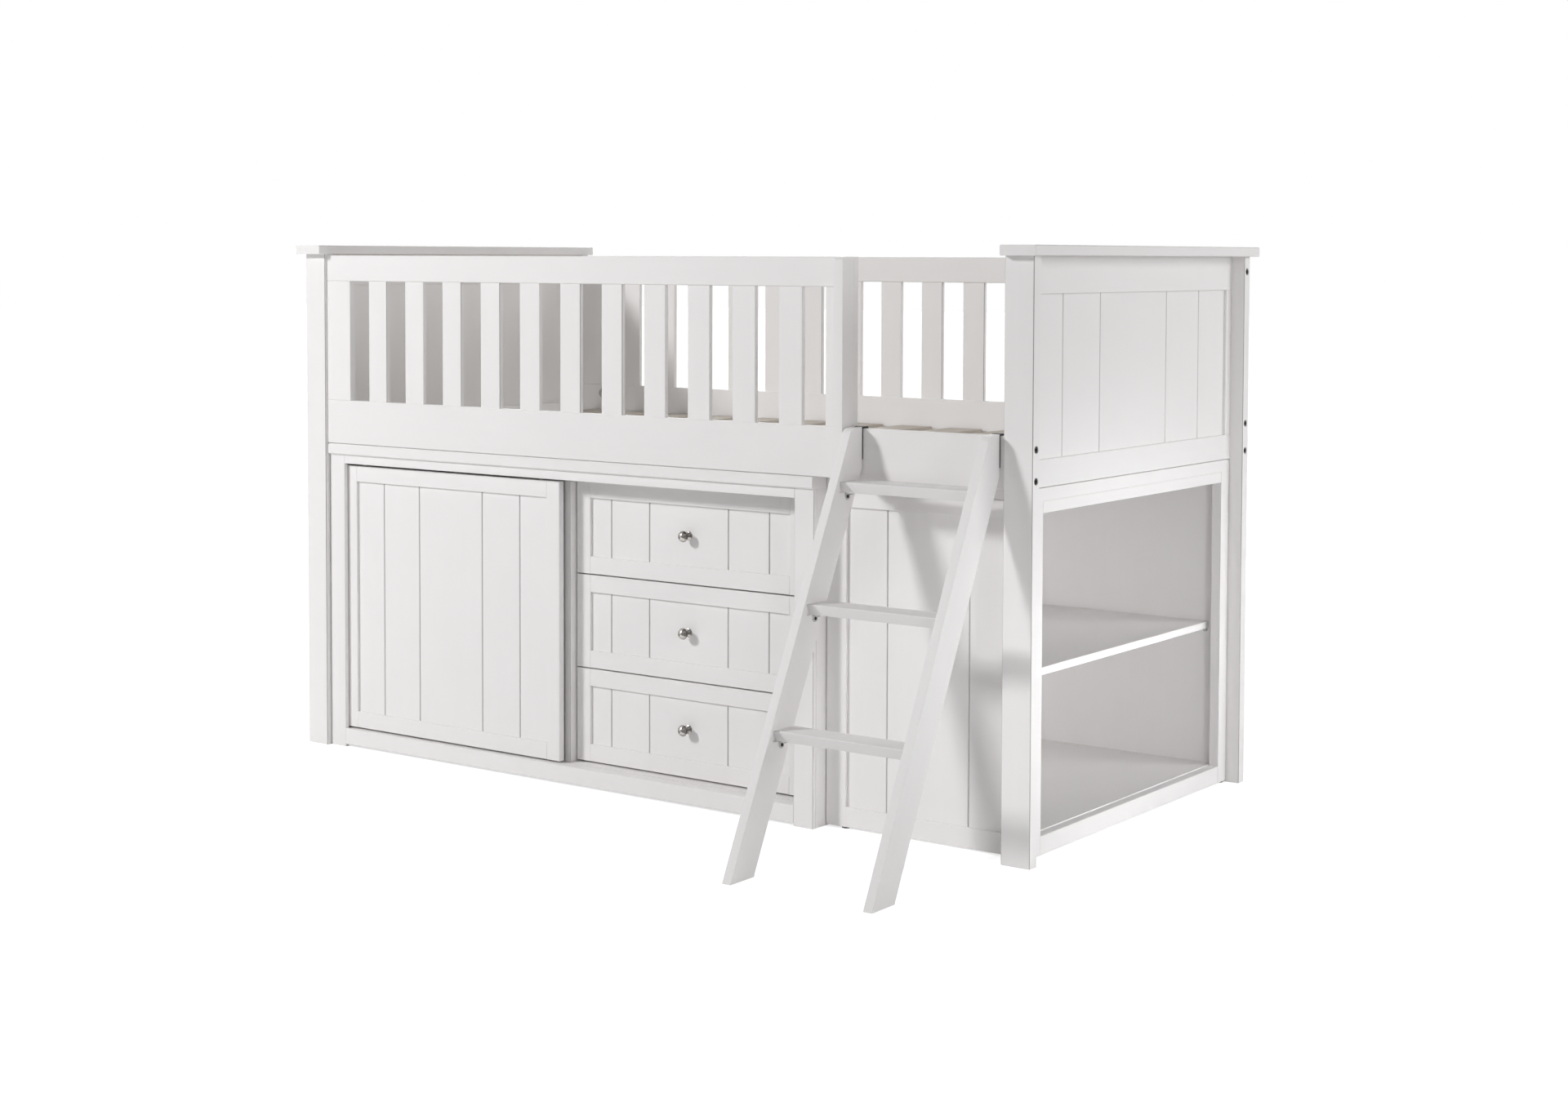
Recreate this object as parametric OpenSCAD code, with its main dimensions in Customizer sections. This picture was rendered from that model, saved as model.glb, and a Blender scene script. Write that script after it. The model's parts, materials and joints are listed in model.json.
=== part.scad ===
// Cabin bed: a mid-height single bed on four posts. Under it stand a cabinet with a sliding
// door and three drawers and, at the right end, a bookcase that is open to the end of the bed.
// A ladder hooks over the front side rail in a gap of the guard.
// Millimetres. X runs along the bed, Y from front to back, Z up from the floor.
// Places are worked out from the front left corner of the posts; row_frame() moves the origin
// to the middle of the whole object's underside.

/* [Bed frame] */
// Length over the outer faces of the posts
bed_length = 2010; // [1980:5:2160]
// Width over the front and back faces of the posts
bed_width = 962; // [940:1:1060]
// Height of the posts, up to the underside of the caps
post_height = 1183; // [1150:1:1300]
// Width of a post, along the bed
post_w = 65; // [58:1:80]
// Depth of a post, across the bed
post_d = 28; // [26:1:34]
// Thickness of a cap board
cap_t = 21; // [16:1:30]
// Overhang of a cap past the outer faces of the posts
cap_side_overhang = 14; // [5:1:25]
// Overhang of a cap past the front and back faces of the posts
cap_end_overhang = 19; // [5:1:30]
// Overhang of a cap past the inner faces of the posts
cap_inner_overhang = 1; // [1:1:10]
// Chamfer along the long edges of the boards
arris = 1.5; // [0.5:0.5:2]

/* [Side rails] */
// Height of the underside of the side rails
rail_bottom = 731; // [715:1:800]
// Height of a side rail
rail_h = 104; // [95:1:130]
// Thickness of a side rail and of a guard rail
rail_t = 16; // [14:1:24]
// Distance of a rail's outer face behind the posts' outer face
rail_set_back = 6; // [1:1:9]

/* [Bed ends] */
// Distance of an end panel's outer face behind the posts' outer faces
end_set_in = 31; // [22:1:36]
// Thickness of an end frame
end_t = 22; // [20:1:26]
// Height of the top rail of an end
end_top_rail_h = 74; // [50:1:100]
// Height of the bottom rail of an end
end_bottom_rail_h = 55; // [45:1:80]
// Width of a stile of an end
end_stile_w = 25; // [20:1:50]
// Width of the outermost boards of an end
end_outer_board_w = 127; // [90:1:150]
// Width of the next boards of an end
end_inner_board_w = 154; // [110:1:180]
// Wood left between the end rails' tenons and the bores of the bolts
tenon_wall = 2; // [1:0.5:4]
// Thickness of the tenons of the end rails
tenon_t = 12; // [8:1:14]

/* [Tongue and groove panels] */
// Distance of the boards behind the front face of their frame
panel_recess = 6; // [4:0.5:6]
// Depth of the frame's groove that holds the boards
panel_housing = 6; // [4:1:8]
// Thickness of the boards in the bed ends and the bookcase side
thick_board_t = 10; // [9:1:12]
// Thickness of the boards in the door and the drawer fronts
thin_board_t = 7; // [6:0.5:8]
// Width and depth of the chamfer on each side of a board joint
v_cut = 2; // [1:0.5:2]
// Length of a tongue
tongue_l = 4; // [3:1:6]

/* [Guards] */
// Gap between the guards' top rails and the underside of the caps
guard_drop = 3; // [2:1:30]
// Height of the guards' top rails
guard_rail_h = 61; // [50:1:80]
// Width of a guard's stile against a post
guard_stile_w = 79; // [60:1:100]
// Width of the front guard's stile beside the ladder
guard_end_stile_w = 69; // [50:1:90]
// Width of a guard slat
slat_w = 60; // [45:1:70]
// Thickness of a guard slat
slat_t = 11; // [7:0.5:13]
// Length of the slats' and stiles' tenons in the rails
slat_tenon = 10; // [6:1:14]
// Number of slats in the front guard
front_slats = 11; // [9:1:12]
// Number of slats in the back guard
back_slats = 14; // [11:1:15]
// Clear width of the way in beside the front guard
entry_w = 354; // [350:1:420]
// Thickness of the upright plank beside the ladder
plank_t = 22; // [18:1:28]
// Depth of the upright plank
plank_d = 40; // [30:1:50]
// Radius of the plank's top front corner
plank_r = 12; // [4:1:25]

/* [Mattress base] */
// Height of a ledger
ledger_h = 25; // [20:1:38]
// Thickness of a ledger
ledger_t = 18; // [15:1:30]
// Number of base slats
base_slats = 13; // [10:1:14]
// Width of a base slat
base_slat_w = 90; // [60:1:100]
// Thickness of a base slat
base_slat_t = 12; // [10:1:20]
// Gap between the ends of the base slats and the side rails
base_slat_gap = 8; // [4:1:12]

/* [Bolts] */
// Height of the lower rail bolt above the rail's underside
low_bolt = 19; // [17:1:25]
// Height of the upper rail bolt above the rail's underside
high_bolt = 80; // [60:1:82]
// Diameter of a bolt's shank
bolt_d = 6; // [5:1:8]
// Diameter of a bolt's head
bolt_head_d = 14; // [12:1:16]
// Thickness of a bolt's head
bolt_head_t = 4; // [3:1:6]
// Diameter of the pocket for the nut
pocket_d = 25; // [24:1:28]
// Distance of the pocket's centre from the post
pocket_from_post = 69; // [50:1:100]
// Depth of the pocket past its nut
pocket_depth = 1; // [0.5:0.5:2.5]

/* [Ladder] */
// Distance of the feet's front edge in front of the posts
ladder_reach = 433; // [380:1:520]
// Distance of the stiles' front edge in front of the posts at their top
ladder_top_reach = 35; // [25:1:45]
// Thickness of a ladder stile
ladder_stile_t = 20; // [18:1:25]
// Depth of a ladder stile, measured level
ladder_stile_d = 75; // [65:1:90]
// Radius of the stiles' top front corner
ladder_top_r = 22; // [10:1:30]
// Gap between the ladder and the guard's plank
ladder_side_gap = 4; // [2:1:8]
// Clear width between the ladder stiles
ladder_inner_w = 300; // [280:1:302]
// Height of the top of the lowest tread
first_tread_z = 270; // [220:1:290]
// Rise from one tread to the next
tread_rise = 231.5; // [200:0.5:232]
// Thickness of a tread
tread_t = 22; // [18:1:28]
// Distance of a tread's front edge behind the stiles' front edge
tread_set_back = 13; // [6:1:20]
// Distance that a tread's front face leans back at its lower edge
tread_undercut = 10; // [4:1:14]
// Depth of the housings in the stiles that hold the treads
tread_housing = 6; // [4:1:8]
// Length of a housing that shows in front of its tread
housing_lead = 6; // [2:1:6]
// Thickness of a hook's steel
hook_t = 4; // [2:0.5:5]
// Length of a hook's plate below the top of the rail
hook_plate_h = 62; // [50:1:75]
// Length of a hook's lip behind the rail
hook_lip_h = 20; // [12:1:28]
// Size of a leg of the brackets under the treads
bracket_leg = 15; // [12:1:18]
// Width of a bracket
bracket_w = 16; // [12:1:24]
// Thickness of a bracket
bracket_t = 2; // [1.5:0.5:3]

/* [Cabinet] */
// Gap between the cabinet and the left post, and between the cabinet and the bookcase
case_gap = 2; // [1:1:5]
// Gap between the cabinet's top and the side rail
top_gap = 1; // [1:1:6]
// Length of the cabinet along the bed
cabinet_w = 1423; // [1390:1:1430]
// Depth of the cabinet behind its face frame's front
cabinet_d = 490; // [480:1:560]
// Distance of the cabinet's face behind the posts' face
cabinet_set_back = 12; // [8:1:20]
// Thickness of the top boards
case_top_t = 26; // [20:1:28]
// Overhang of the cabinet's top past its face
case_top_overhang = 7; // [2:1:8]
// Thickness of the carcass boards
case_t = 18; // [16:1:20]
// Thickness of the cabinet's back
case_back_t = 6; // [3:1:8]
// Thickness of the cabinet's face frame
face_t = 11; // [9:1:14]
// Width of the face frame's stiles
face_stile_w = 49; // [40:1:60]
// Height of the fascia under the top
top_fascia_h = 21; // [19:1:30]
// Height of the floors' upper faces
floor_z = 44; // [40:1:60]
// Gap under the bottom fascia
fascia_gap = 6; // [3:1:10]
// Clear width of the drawer bay
drawer_bay_w = 634; // [600:1:650]
// Width of the drawer bay's side that shows beside the face frame
liner_reveal = 11; // [5:1:16]
// Height of the upper face of the cabinet's shelf
cabinet_shelf_z = 362; // [200:1:500]
// Thickness of the shelves
shelf_t = 16; // [15:1:18]
// Diameter of the shelf pins
pin_d = 6; // [5:1:7]
// Length of a shelf pin in the side and under the shelf
pin_l = 9; // [7:1:11]

/* [Sliding door] */
// Thickness of the door
door_t = 16; // [15:0.5:17]
// Width of the door's stiles and rails
door_bar_w = 38; // [30:1:55]
// Overlap of the door behind the face frame and on the divider
door_overlap = 9; // [5:1:12]
// Gap between the door and the face frame
door_front_gap = 1; // [1:0.5:2]
// Gap under the door
door_floor_gap = 4.5; // [3:0.5:8]
// Gap between the door and the top fascia
door_top_gap = 5; // [4:0.5:8]
// Width of the outermost boards of the door
door_outer_board_w = 86; // [60:1:110]
// Width of the next boards of the door
door_inner_board_w = 116; // [90:1:140]
// Depth of the grooves in which the door's guides run
track_depth = 12; // [9:1:13]
// Distance of the lower guides' groove behind the door
lower_track_gap = 5; // [4:0.5:6]
// Width of the lower guides' groove
lower_track_w = 4; // [3.5:0.5:5]
// Distance of the divider behind the lower guides' groove
divider_gap = 2; // [1.5:0.5:4]
// Width of the groove in the cabinet's top
top_track_w = 9; // [8:0.5:11]

/* [Drawers] */
// Distance of the drawer fronts behind the face frame's front
drawer_set_back = 58; // [56:1:75]
// Thickness of a drawer front
drawer_front_t = 18; // [17:1:22]
// Width of a drawer front's stiles
drawer_stile_w = 39; // [30:1:50]
// Height of a drawer front's rails
drawer_rail_h = 38.5; // [30:0.5:50]
// Width of the outermost boards of a drawer front
drawer_outer_board_w = 57; // [40:1:80]
// Width of the next boards of a drawer front
drawer_inner_board_w = 109; // [80:1:130]
// Gap between two drawer fronts
drawer_gap = 3; // [2:0.5:5]
// Gap under the lowest drawer front
drawer_floor_gap = 4; // [2:0.5:6]
// Gap between the top drawer front and the level of the fascia
drawer_top_gap = 3.5; // [2:0.5:6]
// Gap at each side of a drawer front
drawer_side_gap = 3.5; // [2:0.5:5]
// Thickness of the sides and back of a drawer box
box_t = 12; // [10:1:15]
// Height of a drawer box
box_h = 150; // [110:1:170]
// Depth of a drawer box behind its front
box_d = 390; // [340:1:395]
// Thickness of a drawer's bottom
box_bottom_t = 5; // [4:1:8]
// Height of the box's lower edge above the front's lower edge
box_lift = 14; // [8:1:20]
// Thickness of a runner
runner_t = 12; // [10:1:14]
// Height of a runner
runner_h = 32; // [28:1:40]
// Height of the batten that slides in a runner
batten_h = 12; // [10:1:16]
// Diameter of a knob's head
knob_d = 25; // [20:1:30]
// Distance that a knob stands out of its board
knob_l = 27; // [22:1:28]

/* [Bookcase] */
// Distance of the bookcase's front side behind the posts' face
bookcase_set_back = 57; // [50:1:70]
// Gap between the bookcase's far side and the bed's back face
bookcase_back_gap = 30; // [28:1:60]
// Height of the bookcase's glides
glide_h = 4; // [3:1:8]
// Thickness of the bookcase's sides and face frame
bookcase_t = 22; // [20:1:24]
// Thickness of the bookcase's back
bookcase_back_t = 16; // [12:1:18]
// Width of the stiles of the bookcase's open face
open_stile_w = 40; // [30:1:60]
// Height of the rail above the open face
open_top_rail_h = 24; // [18:1:40]
// Distance of the rail below the open face under the floor's upper face
open_rail_drop = 2; // [0:0.5:4]
// Width of the bookcase side's left stile
side_stile_w = 49; // [40:1:60]
// Height of the bookcase side's top rail
side_top_rail_h = 37; // [30:1:60]
// Height of the bookcase side's bottom rail
side_bottom_rail_h = 42; // [30:1:60]
// Width of the outer boards of the bookcase side
side_outer_board_w = 97; // [70:1:130]
// Height of the upper face of the bookcase's shelf
bookcase_shelf_z = 364; // [200:1:500]
// Distance of the shelf's front edge behind the face frame
bookcase_shelf_set_back = 14; // [4:1:40]

/* [Hidden] */
$fn = 48;

// Colours
white_paint = [0.93, 0.93, 0.92];
pine = [0.82, 0.74, 0.62];
dark_steel = [0.16, 0.15, 0.15];
grey_steel = [0.62, 0.62, 0.63];
nickel = [0.66, 0.64, 0.61];
nylon = [0.80, 0.80, 0.78];

// Chamfers other than arris
fine_arris = 1;    // along the case boards and the ledgers
top_arris = 3;     // along the tops of the cabinet and the bookcase

// Clearances
glue_line = 0.1;   // between the glued pieces of one frame
board_gap = 0.3;   // between neighbouring boards of a panel
slide_gap = 0.4;   // between a sliding piece and its guide
bore_gap = 0.5;    // around a shank or a pin in its bore
shelf_gap = 1;     // between a shelf and the boards around it

// Heights of the bed
rail_top = rail_bottom + rail_h;
guard_top = post_height - guard_drop;
guard_rail_bottom = guard_top - guard_rail_h;
guard_bolt_z = (guard_top + guard_rail_bottom) / 2;
bolt_heights = [rail_bottom + low_bolt, rail_bottom + high_bolt, guard_bolt_z];

// Places along and across the bed
post_inner = post_w;
right_post_inner = bed_length - post_w;
guard_end = right_post_inner - entry_w;
rail_back = rail_set_back + rail_t;
rail_mid = rail_set_back + rail_t / 2;
end_inner = end_set_in + end_t;
tenon_l = post_d - rail_mid - bolt_d / 2 - bore_gap - tenon_wall;
pocket_x = post_w + pocket_from_post;
nut_corners = bolt_d * 1.6;  // across a nut's corners
pocket_floor = rail_mid - nut_corners / 2 * cos(30) - pocket_depth;
head_sink = 1;               // from a post's face to its bolts' heads

// Ladder lines in the Y-Z plane
ladder_slope = (ladder_reach - ladder_top_reach) / rail_top;
ladder_lean = atan(ladder_slope);
ladder_left = guard_end + ladder_side_gap;
ladder_back = rail_set_back - hook_t;
function ladder_front_y(z) = ladder_slope * z - ladder_reach;
function ladder_back_y(z) = min(ladder_back, ladder_front_y(z) + ladder_stile_d);
function tread_top(level) = first_tread_z + level * tread_rise;

// Cabinet
cabinet_left = post_inner + case_gap;
cabinet_right = cabinet_left + cabinet_w;
cabinet_top_z = rail_bottom - top_gap;
case_top_under = cabinet_top_z - case_top_t;
face_back = cabinet_set_back + face_t;
cabinet_back_y = cabinet_set_back + cabinet_d;
carcass_back = cabinet_back_y - case_back_t;
bay_right = cabinet_right - face_stile_w - liner_reveal;
bay_left = bay_right - drawer_bay_w;
divider_left = bay_left - case_t;
fascia_under = case_top_under - top_fascia_h;
drawer_face = cabinet_set_back + drawer_set_back;

// Door
door_left = cabinet_left + face_stile_w - door_overlap;
door_w = divider_left + door_overlap - door_left;
door_front = face_back + door_front_gap;
door_back = door_front + door_t;
door_bottom = floor_z + door_floor_gap;
door_h = fascia_under - door_top_gap - door_bottom;
door_mid = door_front + door_t / 2;
guide_inset = 60;  // from the door's edges to the middle of its guides
lower_track = door_back + lower_track_gap;
lower_track_back = lower_track + lower_track_w;
divider_front = lower_track_back + divider_gap;

// Drawers
drawer_w = drawer_bay_w - 2 * drawer_side_gap;
drawer_left = bay_left + drawer_side_gap;
drawer_stack = fascia_under - drawer_top_gap - floor_z - drawer_floor_gap;
drawer_h = (drawer_stack - 2 * drawer_gap) / 3;
function drawer_bottom(level) = floor_z + drawer_floor_gap + level * (drawer_h + drawer_gap);
box_left = bay_left + runner_t + bore_gap * 2;
box_w = bay_left + bay_right - 2 * box_left;
box_front = drawer_face + drawer_front_t;
batten_z = box_lift + box_h / 2;
knob_board_y = drawer_face + panel_recess;

// Bookcase
bookcase_left = cabinet_right + case_gap;
bookcase_right = bed_length - end_set_in;
bookcase_front = bookcase_set_back;
bookcase_far = bed_width - bookcase_back_gap;
bookcase_side_w = bookcase_right - bookcase_t - bookcase_left;
bookcase_inner_left = bookcase_left + bookcase_back_t;
bookcase_inner_right = bookcase_right - bookcase_t;
bookcase_under = case_top_under;

// ---------- Helpers ----------

// Moves the origin from the front left corner to the middle of the object's underside
module row_frame() {
    middle_y = (bed_width + cap_end_overhang - ladder_reach) / 2;
    translate([-bed_length / 2, -middle_y, 0]) children();
}

// Repeats a piece of the left front corner at another corner of the bed
module at_corner(right, back) {
    if (right && back)
        translate([bed_length, bed_width, 0]) rotate([0, 0, 180]) children();
    else if (right)
        translate([bed_length, 0, 0]) mirror([1, 0, 0]) children();
    else if (back)
        translate([0, bed_width, 0]) mirror([0, 1, 0]) children();
    else
        children();
}

// A plain block from its lowest to its highest corner
module block(low, high) {
    translate(low) cube(high - low);
}

// A rectangle with chamfered corners
module eased_rectangle(w, h, e = arris) {
    polygon([[e, 0], [w - e, 0], [w, e], [w, h - e], [w - e, h], [e, h], [0, h - e], [0, e]]);
}

// Boards with chamfered long edges, from the lowest to the highest corner
module board_x(low, high, e = arris) {
    size = high - low;
    translate(low) rotate([90, 0, 90]) linear_extrude(size.x) eased_rectangle(size.y, size.z, e);
}

module board_y(low, high, e = arris) {
    size = high - low;
    translate([low.x, high.y, low.z])
        rotate([90, 0, 0]) linear_extrude(size.y) eased_rectangle(size.x, size.z, e);
}

module board_z(low, high, e = arris) {
    size = high - low;
    translate(low) linear_extrude(size.z) eased_rectangle(size.x, size.y, e);
}

// A bore along X, from x0 to x1
module bore_x(d, x0, x1, y, z) {
    translate([x0, y, z]) rotate([0, 90, 0]) cylinder(d = d, h = x1 - x0);
}

// A bore along Y, from y0 to y1
module bore_y(d, x, y0, y1, z) {
    translate([x, y0, z]) rotate([-90, 0, 0]) cylinder(d = d, h = y1 - y0);
}

// ---------- Framed panels of tongue and groove boards ----------
// A panel lies in its own frame: its face at y = 0, x to the right, z up.

// A frame bar along X with a groove along its upper edge and a stub tenon at each end
module grooved_bar(length, width, thick, board_t, stub = 0) {
    groove_back = panel_recess + board_t;
    e = arris / 2;
    rotate([90, 0, 90]) linear_extrude(length)
        polygon([
            [e, 0], [thick - e, 0], [thick, e], [thick, width], [groove_back, width],
            [groove_back, width - panel_housing], [panel_recess, width - panel_housing],
            [panel_recess, width], [e, width], [0, width - e], [0, e]
        ]);
    if (stub > 0)
        for (x = [-stub, length])
            translate([x, panel_recess + glue_line, e])
                cube([stub, board_t - 2 * glue_line, width - panel_housing - 2 * e]);
}

// Stiles from bottom to top with the rails between them
module stile_frame(w, h, thick, board_t, stile_w, top_h, bottom_h, right_stile_w) {
    rail_x = stile_w + glue_line;
    rail_l = w - stile_w - right_stile_w - 2 * glue_line;
    stub = panel_housing - 2 * glue_line;
    translate([0, 0, h]) rotate([0, 90, 0]) grooved_bar(h, stile_w, thick, board_t);
    translate([w, 0, 0]) rotate([0, -90, 0]) grooved_bar(h, right_stile_w, thick, board_t);
    translate([rail_x, 0, 0]) grooved_bar(rail_l, bottom_h, thick, board_t, stub);
    translate([rail_x, 0, h]) mirror([0, 0, 1]) grooved_bar(rail_l, top_h, thick, board_t, stub);
}

// Rails from side to side with the stiles between them
module rail_frame(w, h, thick, board_t, stile_w, top_h, bottom_h) {
    stile_l = h - top_h - bottom_h - 2 * glue_line;
    stub = panel_housing - 2 * glue_line;
    grooved_bar(w, bottom_h, thick, board_t);
    translate([0, 0, h]) mirror([0, 0, 1]) grooved_bar(w, top_h, thick, board_t);
    translate([0, 0, h - top_h - glue_line])
        rotate([0, 90, 0]) grooved_bar(stile_l, stile_w, thick, board_t, stub);
    translate([w, 0, bottom_h + glue_line])
        rotate([0, -90, 0]) grooved_bar(stile_l, stile_w, thick, board_t, stub);
}

// Section of one board: a groove on its left edge and a tongue on its right edge,
// with the face chamfered along the joints. The outermost edges are plain.
module board_section(x0, x1, board_t, first, last) {
    tongue_low = board_t * 0.38;
    tongue_high = board_t * 0.68;
    slack = glue_line;
    left = first ? [[x0, 0], [x0, board_t]] : [
        [x0 + v_cut, 0], [x0, v_cut], [x0, tongue_low - slack],
        [x0 + tongue_l, tongue_low - slack], [x0 + tongue_l, tongue_high + slack],
        [x0, tongue_high + slack], [x0, board_t]
    ];
    right = last ? [[x1, board_t], [x1, 0]] : [
        [x1, board_t], [x1, tongue_high], [x1 + tongue_l, tongue_high],
        [x1 + tongue_l, tongue_low], [x1, tongue_low], [x1, v_cut], [x1 - v_cut, 0]
    ];
    polygon(concat(left, right));
}

// The boards that fill a frame's opening: outer boards of the given widths at both edges
// and one board in the middle that takes the rest. All edges run into the frame's grooves.
module panel_boards(opening_w, opening_h, board_t, outer_widths) {
    count = 2 * len(outer_widths) + 1;
    outer_sum = [for (i = 0, s = 0; i <= len(outer_widths); s = s + (i < len(outer_widths)
        ? outer_widths[i] : 0), i = i + 1) s];
    joints = concat(outer_sum, [for (i = [len(outer_widths):-1:0]) opening_w - outer_sum[i]]);
    hold = panel_housing - glue_line;
    for (i = [0:count - 1]) {
        first = i == 0;
        last = i == count - 1;
        x0 = first ? -hold : joints[i] + board_gap / 2;
        x1 = last ? opening_w + hold : joints[i + 1] - board_gap / 2;
        translate([0, panel_recess + glue_line, -hold])
            linear_extrude(opening_h + 2 * hold)
                board_section(x0, x1, board_t - 2 * glue_line, first, last);
    }
}

// ---------- Bed frame ----------

// A post with the bores of its bolts and the mortises of the end's rails
module post(right, back, bolts) {
    tenon_x = end_set_in + (end_t - tenon_t) / 2;
    color(white_paint) row_frame() at_corner(right, back) difference() {
        board_z([0, 0, 0], [post_w, post_d, post_height]);
        for (i = [0:bolts - 1]) {
            bore_x(bolt_head_d + 2 * bore_gap, -1, head_sink + bolt_head_t, rail_mid,
                   bolt_heights[i]);
            bore_x(bolt_d + 2 * bore_gap, -1, post_w + 1, rail_mid, bolt_heights[i]);
        }
        for (z = end_tenon_levels())
            block([tenon_x, post_d - tenon_l, z[0]], [tenon_x + tenon_t, post_d + 1, z[1]]);
    }
}

tenon_edge = 8;    // from an end rail's outer edge to its tenons
tenon_groove = 4;  // from an end rail's groove to its tenons

// Lower and upper level of the tenons of an end's bottom and top rail
function end_tenon_levels() = [
    [rail_bottom + tenon_edge, rail_bottom + end_bottom_rail_h - panel_housing - tenon_groove],
    [post_height - end_top_rail_h + panel_housing + tenon_groove, post_height - tenon_edge]
];

module cap(right) {
    color(white_paint) row_frame() at_corner(right, false)
        board_y([-cap_side_overhang, -cap_end_overhang, post_height],
                [post_w + cap_inner_overhang, bed_width + cap_end_overhang, post_height + cap_t]);
}

// Turns a panel so that its face looks out of the left end of the bed
module on_left_end() {
    translate([end_set_in, bed_width - post_d, rail_bottom]) rotate([0, 0, -90]) children();
}

module end_frame(right) {
    end_w = bed_width - 2 * post_d;
    end_h = post_height - rail_bottom;
    tenon_y = (end_t - tenon_t) / 2;
    color(white_paint) row_frame() at_corner(right, false) on_left_end() {
        rail_frame(end_w, end_h, end_t, thick_board_t, end_stile_w,
                   end_top_rail_h, end_bottom_rail_h);
        for (z = end_tenon_levels())
            for (x = [-tenon_l + glue_line, end_w])
                translate([x, tenon_y + glue_line, z[0] - rail_bottom + glue_line])
                    cube([tenon_l - glue_line, tenon_t - 2 * glue_line,
                          z[1] - z[0] - 2 * glue_line]);
    }
}

module end_boards(right) {
    opening_w = bed_width - 2 * post_d - 2 * end_stile_w;
    opening_h = post_height - rail_bottom - end_top_rail_h - end_bottom_rail_h;
    color(white_paint) row_frame() at_corner(right, false) on_left_end()
        translate([end_stile_w, 0, end_bottom_rail_h])
            panel_boards(opening_w, opening_h, thick_board_t,
                         [end_outer_board_w, end_inner_board_w]);
}

// Bores of the bolts and pockets of the nuts in the left end of a rail
module rail_joint(z) {
    bore_x(bolt_d + 2 * bore_gap, post_w - 1, pocket_x, rail_mid, z);
    bore_y(pocket_d, pocket_x, pocket_floor, rail_back + 1, z);
}

// Left edges of evenly spaced slats between two stiles
function slat_edges(x0, x1, count) =
    [for (i = [0:count - 1]) x0 + (x1 - x0 + slat_w) / (count + 1) * (i + 1) - slat_w];

front_slat_edges = slat_edges(post_w + guard_stile_w, guard_end - guard_end_stile_w, front_slats);
back_slat_edges = slat_edges(post_w + guard_stile_w, right_post_inner - guard_stile_w, back_slats);

// Mortises for the tenons of the slats and stiles, from z0 to z1
module guard_mortises(edges, stiles, z0, z1) {
    for (x = edges)
        block([x, rail_mid - slat_t / 2, z0], [x + slat_w, rail_mid + slat_t / 2, z1]);
    for (s = stiles)
        block([s[0] + slat_tenon, rail_mid - slat_t / 2, z0],
              [s[1] - slat_tenon, rail_mid + slat_t / 2, z1]);
}

front_stiles = [
    [post_w, post_w + guard_stile_w],
    [guard_end - guard_end_stile_w, guard_end]
];
back_stiles = [
    [post_w, post_w + guard_stile_w],
    [right_post_inner - guard_stile_w, right_post_inner]
];

module side_rail(back) {
    edges = back ? back_slat_edges : front_slat_edges;
    stiles = back ? back_stiles : front_stiles;
    color(white_paint) row_frame() at_corner(false, back) difference() {
        board_x([post_w, rail_set_back, rail_bottom], [right_post_inner, rail_back, rail_top]);
        for (right = [false, true])
            at_corner(right, false) for (i = [0, 1]) rail_joint(bolt_heights[i]);
        guard_mortises(edges, stiles, rail_top - slat_tenon, rail_top + 1);
    }
}

module guard_rail(back, x1, right_joint) {
    edges = back ? back_slat_edges : front_slat_edges;
    stiles = back ? back_stiles : front_stiles;
    color(white_paint) row_frame() at_corner(false, back) difference() {
        board_x([post_w, rail_set_back, guard_rail_bottom], [x1, rail_back, guard_top]);
        rail_joint(guard_bolt_z);
        if (right_joint) at_corner(true, false) rail_joint(guard_bolt_z);
        guard_mortises(edges, stiles, guard_rail_bottom - 1, guard_rail_bottom + slat_tenon);
    }
}

// The stiles of a guard, with a tenon at both ends
module guard_stile_set(spans) {
    for (s = spans) {
        board_z([s[0], rail_set_back, rail_top], [s[1], rail_back, guard_rail_bottom], arris / 2);
        block([s[0] + slat_tenon + glue_line, rail_mid - slat_t / 2 + glue_line,
               rail_top - slat_tenon + glue_line],
              [s[1] - slat_tenon - glue_line, rail_mid + slat_t / 2 - glue_line,
               guard_rail_bottom + slat_tenon - glue_line]);
    }
}

// The slats of a guard, let into the rails above and below
module guard_slat_set(edges) {
    for (x = edges)
        board_z([x + glue_line, rail_mid - slat_t / 2 + glue_line,
                 rail_top - slat_tenon + glue_line],
                [x + slat_w - glue_line, rail_mid + slat_t / 2 - glue_line,
                 guard_rail_bottom + slat_tenon - glue_line]);
}

module guard_stiles() {
    color(white_paint) row_frame() guard_stile_set(front_stiles);
}

module guard_slats() {
    color(white_paint) row_frame() guard_slat_set(front_slat_edges);
}

module back_guard_slats() {
    color(white_paint) row_frame() at_corner(false, true) {
        guard_slat_set(back_slat_edges);
        guard_stile_set(back_stiles);
    }
}

// The upright plank at the end of the front guard, with its top front corner rounded
module guard_end_plank() {
    front = rail_set_back - plank_d;
    color(white_paint) row_frame()
        translate([guard_end - plank_t, 0, 0]) rotate([90, 0, 90]) linear_extrude(plank_t) {
            translate([front, rail_bottom]) square([plank_d, guard_top - plank_r - rail_bottom]);
            translate([front + plank_r, guard_top - plank_r - 1])
                square([plank_d - plank_r, plank_r + 1]);
            translate([front + plank_r, guard_top - plank_r]) circle(r = plank_r);
        }
}

module ledgers() {
    color(white_paint) row_frame() for (back = [false, true])
        at_corner(false, back)
            board_x([post_w, rail_back, rail_bottom],
                    [right_post_inner, rail_back + ledger_t, rail_bottom + ledger_h], fine_arris);
}

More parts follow.
